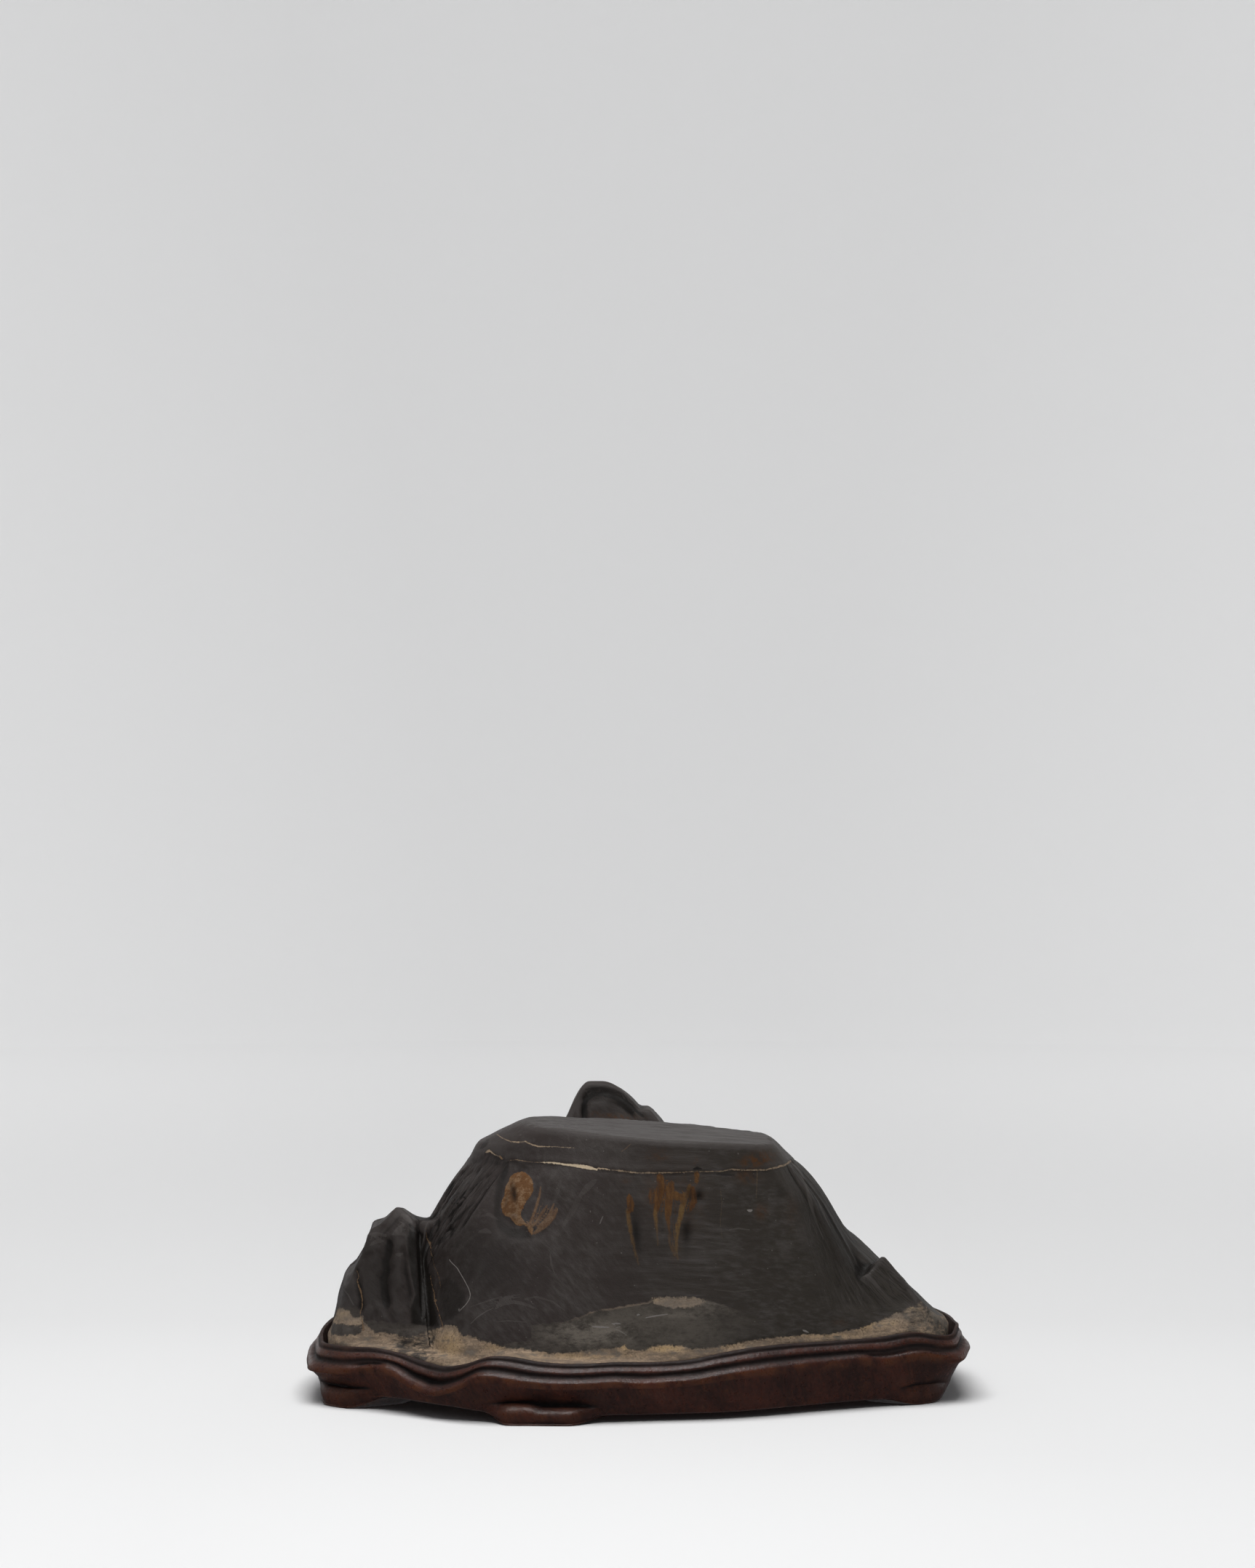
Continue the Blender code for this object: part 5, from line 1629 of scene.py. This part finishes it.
@dataclass
class Stand:
    """The carved stand that the stone sits in."""

    form: StoneForm
    finish: WoodFinish
    azimuths: int = 620
    rings_between: int = 4
    seat: float = 9.1
    underside: float = 3.2
    # Feet: place of the middle, half width, and how far the toe stands out.
    feet: tuple[tuple[float, float, float, float], ...] = (
        (-99, -54, 9, 1.2), (-30, -83, 14, 3.4), (97, -48, 8, -0.6), (98, 30, 10, 0.5),
        (5, 83, 13, 2.0), (-88, 42, 10, 0.5),
    )
    foot_depth: float = 16.0
    # Height from the rim down to the shoulder, by the picture coordinate across.
    drop_along: Points = (
        (425, 7.2), (470, 7.0), (503, 6.6), (545, 4.4), (560, 4.8), (580, 6.5), (600, 7.3),
        (620, 7.0), (640, 6.3), (653, 5.4), (665, 5.0), (686, 5.5), (706, 6.1), (720, 6.0),
        (760, 5.6), (843, 5.4), (884, 5.8), (924, 5.4), (965, 5.6), (1020, 6.2), (1062, 6.2),
        (1104, 5.8), (1165, 5.5), (1200, 6.6), (1241, 6.6), (1320, 6.4),
    )
    # Strength of the raised shoulder, by the same coordinate.
    panel_along: Points = (
        (425, 0.9), (500, 0.9), (511, 0.1), (534, 0.05), (548, 1.0), (1174, 1.0), (1184, 0.15),
        (1215, 0.1), (1245, 0.5), (1320, 0.7),
    )
    # Height of the lower edge between the feet, by X.
    lift_along: Points = ((-85, 4.4), (-72, 4.2), (-60, 4.1), (-48, 3.2), (0, 2.0), (30, 2.0), (75, 2.4))

    def feet_round(self, azimuth: Array, reach: Array) -> tuple[Array, Array]:
        """How much of a foot there is at each azimuth, from 0 to 1, and how far its toe stands out."""
        share, toe = np.zeros_like(azimuth), np.zeros_like(azimuth)
        x, y = self.form.plan(azimuth, reach)
        for foot_x, foot_y, half, stands_out in self.feet:
            here = 1 - ease(half - 5, half + 8, np.hypot(x - foot_x, y - foot_y))
            share = np.maximum(share, here)
            toe += here * stands_out
        return share, toe

    def profile(self, azimuth: Array) -> tuple[Array, Array]:
        """Section of the stand at each azimuth.

        Args:
            azimuth: Where the section is taken, in radians.

        Returns:
            A few points of radius and height, and at each one its painted shade: dark in the lip, the grooves
            and over the feet, negative just under the shoulder's crest, where the wood is warmer.
        """
        reach, rim = self.form.reach(azimuth), self.form.rim(azimuth)
        foot, toe = self.feet_round(azimuth, reach)
        front = np.clip(-np.sin(azimuth), 0, 1)
        x, y = self.form.plan(azimuth, reach)
        u, _ = VIEW.project(stack(x, y, rim))
        shown = ease(-20, -40, y)
        drop = read(self.drop_along, u) * shown + 6.0 * (1 - shown)
        panel = read(self.panel_along, u) * shown + 0.8 * (1 - shown)
        lift = read(self.lift_along, x) * shown + self.underside * (1 - shown)
        scoop = np.exp(-((u - 600) / 38) ** 2) * shown
        right, left = ease(97, 105, x), ease(-100, -106, x)
        gap = 1.8 * right + 1.0 * left
        wide = 4.9 + panel + 1.6 * right + 1.4 * left
        low = 1.0 + 2.4 * front - 1.7 * ease(86, 104, x) + 0.9 * left
        shoulder = rim - drop
        slump = 1 - 0.16 * ease(728, 754, u) * ease(900, 850, u) * shown
        # Each row: radius, height and painted shade, dark in the lip and the grooves, negative under the
        # shoulder's crest.
        upper = [
            (-40.0, self.seat, 0), (-2.7, self.seat, 0), (-0.6, 10.8, 0), (0.2 + 0.5 * gap, 14.0, 0.5),
            (0.5 + gap, rim - 1.2, 0.8), (0.65 + gap, rim - 0.25, 0.8), (1.15 + gap, rim, 0.7),
            (1.9 + 0.85 * gap, rim - 0.15, 0.8), (2.3 + 0.7 * gap, rim - 0.12 * drop, 1),
            (2.45 + 0.6 * gap, rim - 0.24 * drop, 0.8), (3.1 + 0.45 * gap, rim - 0.33 * drop, 0),
            (3.85 + 0.35 * gap, rim - 0.46 * drop, 0),
            (4.05 + 0.3 * gap - 0.6 * scoop, rim - 0.57 * drop, 0.5),
            (3.75 + 0.3 * gap - 1.2 * scoop, rim - 0.69 * drop, 0.9),
            (3.95 + 0.25 * gap - 1.1 * scoop, rim - 0.81 * drop, 0.9),
            (wide - 1.2, rim - 0.92 * drop, 0.3), (wide - 0.4, shoulder - 0.15, -0.3),
            (wide, shoulder - 0.9, -1), (wide + 0.1, shoulder - 2.2, -0.8),
            (0.5 * wide + 0.5 * low + 1.15, 0.5 * shoulder + 4.2, 0),
        ]
        plain = [(low + 1.3, lift + 4.6), (low + 0.75, lift + 3.2), (low + 0.3, lift + 2.0),
                 (low - 0.1, lift + 1.2), (low - 0.6, lift + 0.5), (low - 1.6, lift + 0.1), (low - 3.2, lift)]
        padded = [(low + 0.5, 8.4), (low - 0.9, 7.0 * slump), (low - 0.2 + 0.5 * toe, 6.5 * slump),
                  (low + 0.5 + 0.9 * toe, 5.0 * slump), (low + 0.8 + toe, 2.9 * slump),
                  (low + 0.2 + toe, 0.8), (low - 1.2 + toe, 0.0)]
        # Painted shade in the recess above each foot's pad.
        lower = [(a[0] + (b[0] - a[0]) * foot, a[1] + (b[1] - a[1]) * foot, dark * foot)
                 for a, b, dark in zip(plain, padded, (0.2, 1.0, 0.3, 0, 0, 0, 0))]
        inner = [(-self.foot_depth, lift * (1 - foot), 0), (-self.foot_depth - 2.5, self.underside, 0)]
        rows = np.array([stack(reach + at, level, dark) for at, level, dark in upper + lower + inner])
        return rows[..., :2], rows[..., 2]

    def surface(self) -> tuple[Array, Array]:
        """Points of the stand's skin, from the middle of its seat out, down and under, and its tone."""
        azimuth = np.linspace(-math.pi, math.pi, self.azimuths + 1) + math.pi / 2
        rows, tones = self.profile(azimuth)
        padded = np.concatenate([2 * rows[:1] - rows[1:2], rows, 2 * rows[-1:] - rows[-2:-1]])
        skin, tone = [], []
        for i in range(1, len(padded) - 2):
            a, b, c, d = padded[i - 1:i + 3]
            for t in np.arange(self.rings_between) / self.rings_between:
                skin.append(0.5 * (2 * b + (c - a) * t + (2 * a - 5 * b + 4 * c - d) * t * t
                                   + (3 * b - a - 3 * c + d) * t ** 3))
                tone.append(tones[i - 1] * (1 - t) + tones[i] * t)
        skin = np.array(skin + [rows[-1]])
        tone = np.array([tone[0]] + tone + [tones[-1], tones[-1]])
        x, y = self.form.plan(azimuth, skin[..., 0])
        points = stack(x, y, np.maximum(skin[..., 1], 0))
        centre = np.array([self.form.centre[0], self.form.centre[1], self.seat])
        first = np.broadcast_to(centre, points[:1].shape)
        last = np.broadcast_to(centre + (0, 0, self.underside - self.seat), points[:1].shape)
        return np.concatenate([first, points, last]), tone

    def build(self, effects: SharedEffects) -> bpy.types.Object:
        """Builds the stand with its mouldings and feet, and dresses it."""
        points, tone = self.surface()
        normals = normals_of(points)
        noise = Noise(23)
        outside = np.zeros(points.shape[:2])
        outside[8 * self.rings_between:24 * self.rings_between] = 1
        tooling = 0.10 * noise.fractal(points / np.array([9, 9, 3.0]), 2) + 0.05 * noise.plain(points / 2.1)
        points = points + (outside * tooling)[..., None] * normals
        points[:, -1] = points[:, 0]
        edge = edge_of(points, normals, 3)
        piece = wrap_skin("carved_stand", points, {"shade": stack(tone, edge, 0 * edge)})
        piece.data.materials.append(self.finish.build(effects))
        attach(piece, BODY)
        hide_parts("stand")
        return piece


# --- The studio ----------------------------------------------------------------------------------
@dataclass(frozen=True)
class Softbox:
    """A flat soft light: its place and aim in metres, its size, and its power in watts."""

    name: str
    place: tuple[float, float, float]
    aim: tuple[float, float, float]
    size: tuple[float, float]
    power: float

    def add(self) -> None:
        """Adds the light to the scene."""
        data = bpy.data.lights.new(self.name, "AREA")
        data.shape = "RECTANGLE"
        data.size, data.size_y = self.size
        data.energy = self.power
        light = bpy.data.objects.new(self.name, data)
        light.location = self.place
        light.rotation_euler = (Vector(self.aim) - Vector(self.place)).to_track_quat("-Z", "Y").to_euler()
        light.visible_camera = False
        bpy.context.scene.collection.objects.link(light)


@dataclass(frozen=True)
class Studio:
    """A pale seamless table in a room that is bright above and behind, and dim in front.

    The backdrop is round, so that every side has the same background.
    """

    table_radius: float = 1.6
    wall_radius: float = 3.4
    sides: int = 128
    bend_steps: int = 16
    paper: Colour = (0.80, 0.80, 0.80)
    softboxes: tuple[Softbox, ...] = (
        Softbox("overhead", (-0.04, -0.20, 0.88), (0.0, -0.03, 0.02), (0.7, 0.7), 9.0),
        Softbox("rear_wash", (0.0, 0.6, 1.8), (0.0, 1.57, 1.55), (2.4, 0.6), 44.0),
        Softbox("front_wash", (0.0, -0.6, 1.8), (0.0, -1.57, 1.55), (2.4, 0.6), 34.0),
        Softbox("left_wash", (-0.6, 0.0, 1.8), (-1.57, 0.0, 1.55), (2.4, 0.6), 34.0),
        Softbox("right_wash", (0.6, 0.0, 1.8), (1.57, 0.0, 1.55), (2.4, 0.6), 34.0),
    )
    ambient: float = 0.12

    def sweep(self, name: str, start: int, end: int) -> bpy.types.Object:
        """A part of the upward bend round the table, between two of its sides."""
        bend = self.wall_radius - self.table_radius
        turns = [math.pi / 2 * step / self.bend_steps for step in range(self.bend_steps + 1)]
        rings = [(self.table_radius + bend * math.sin(t), bend * (1 - math.cos(t))) for t in turns]
        verts, faces = [], []
        for at in range(start, end + 1):
            angle = 2 * math.pi * at / self.sides
            verts += [(r * math.cos(angle), r * math.sin(angle), z) for r, z in rings]
        count = len(rings)
        for column in range(end - start):
            for row in range(count - 1):
                a = column * count + row
                faces.append((a, a + 1, a + count + 1, a + count))
        mesh = bpy.data.meshes.new(name)
        mesh.from_pydata(verts, [], faces)
        mesh.shade_smooth()
        piece = bpy.data.objects.new(name, mesh)
        bpy.context.scene.collection.objects.link(piece)
        return piece

    def build(self) -> None:
        """Builds the table, the backdrop, the lights and the dim air round them."""
        bpy.ops.object.select_all(action="DESELECT")
        bpy.ops.mesh.primitive_circle_add(vertices=self.sides, radius=self.table_radius, fill_type="NGON")
        table = bpy.context.object
        table.name = table.data.name = "pale_table"
        rear = self.sweep("rear_backdrop", 0, self.sides // 2)
        front = self.sweep("front_backdrop", self.sides // 2, self.sides)
        front.visible_glossy = front.visible_diffuse = table.visible_glossy = False
        material, _, shader = new_material("pale_paper")
        shader.inputs["Base Color"].default_value = (*self.paper, 1.0)
        shader.inputs["Roughness"].default_value = 0.9
        for part in (table, rear, front):
            part.data.materials.append(material)
        for softbox in self.softboxes:
            softbox.add()
        world = bpy.data.worlds.new("studio_air")
        world.use_nodes = True
        world.node_tree.nodes["Background"].inputs["Color"].default_value = (0.94, 0.96, 1.0, 1.0)
        world.node_tree.nodes["Background"].inputs["Strength"].default_value = self.ambient
        bpy.context.scene.world = world
        bpy.context.scene.view_settings.view_transform = "Standard"


def main() -> None:
    """Builds the pieces in order and reports each one."""
    VIEW.add_camera()
    form = StoneForm()
    effects = SharedEffects()
    for maker in (Stand(form, WoodFinish()), Stone(form, StoneFinish())):
        piece = maker.build(effects)
        log.info("%s: %d faces", piece.name, len(piece.data.polygons))
    Studio().build()
    bpy.context.view_layer.update()


if __name__ == "__main__":
    main()
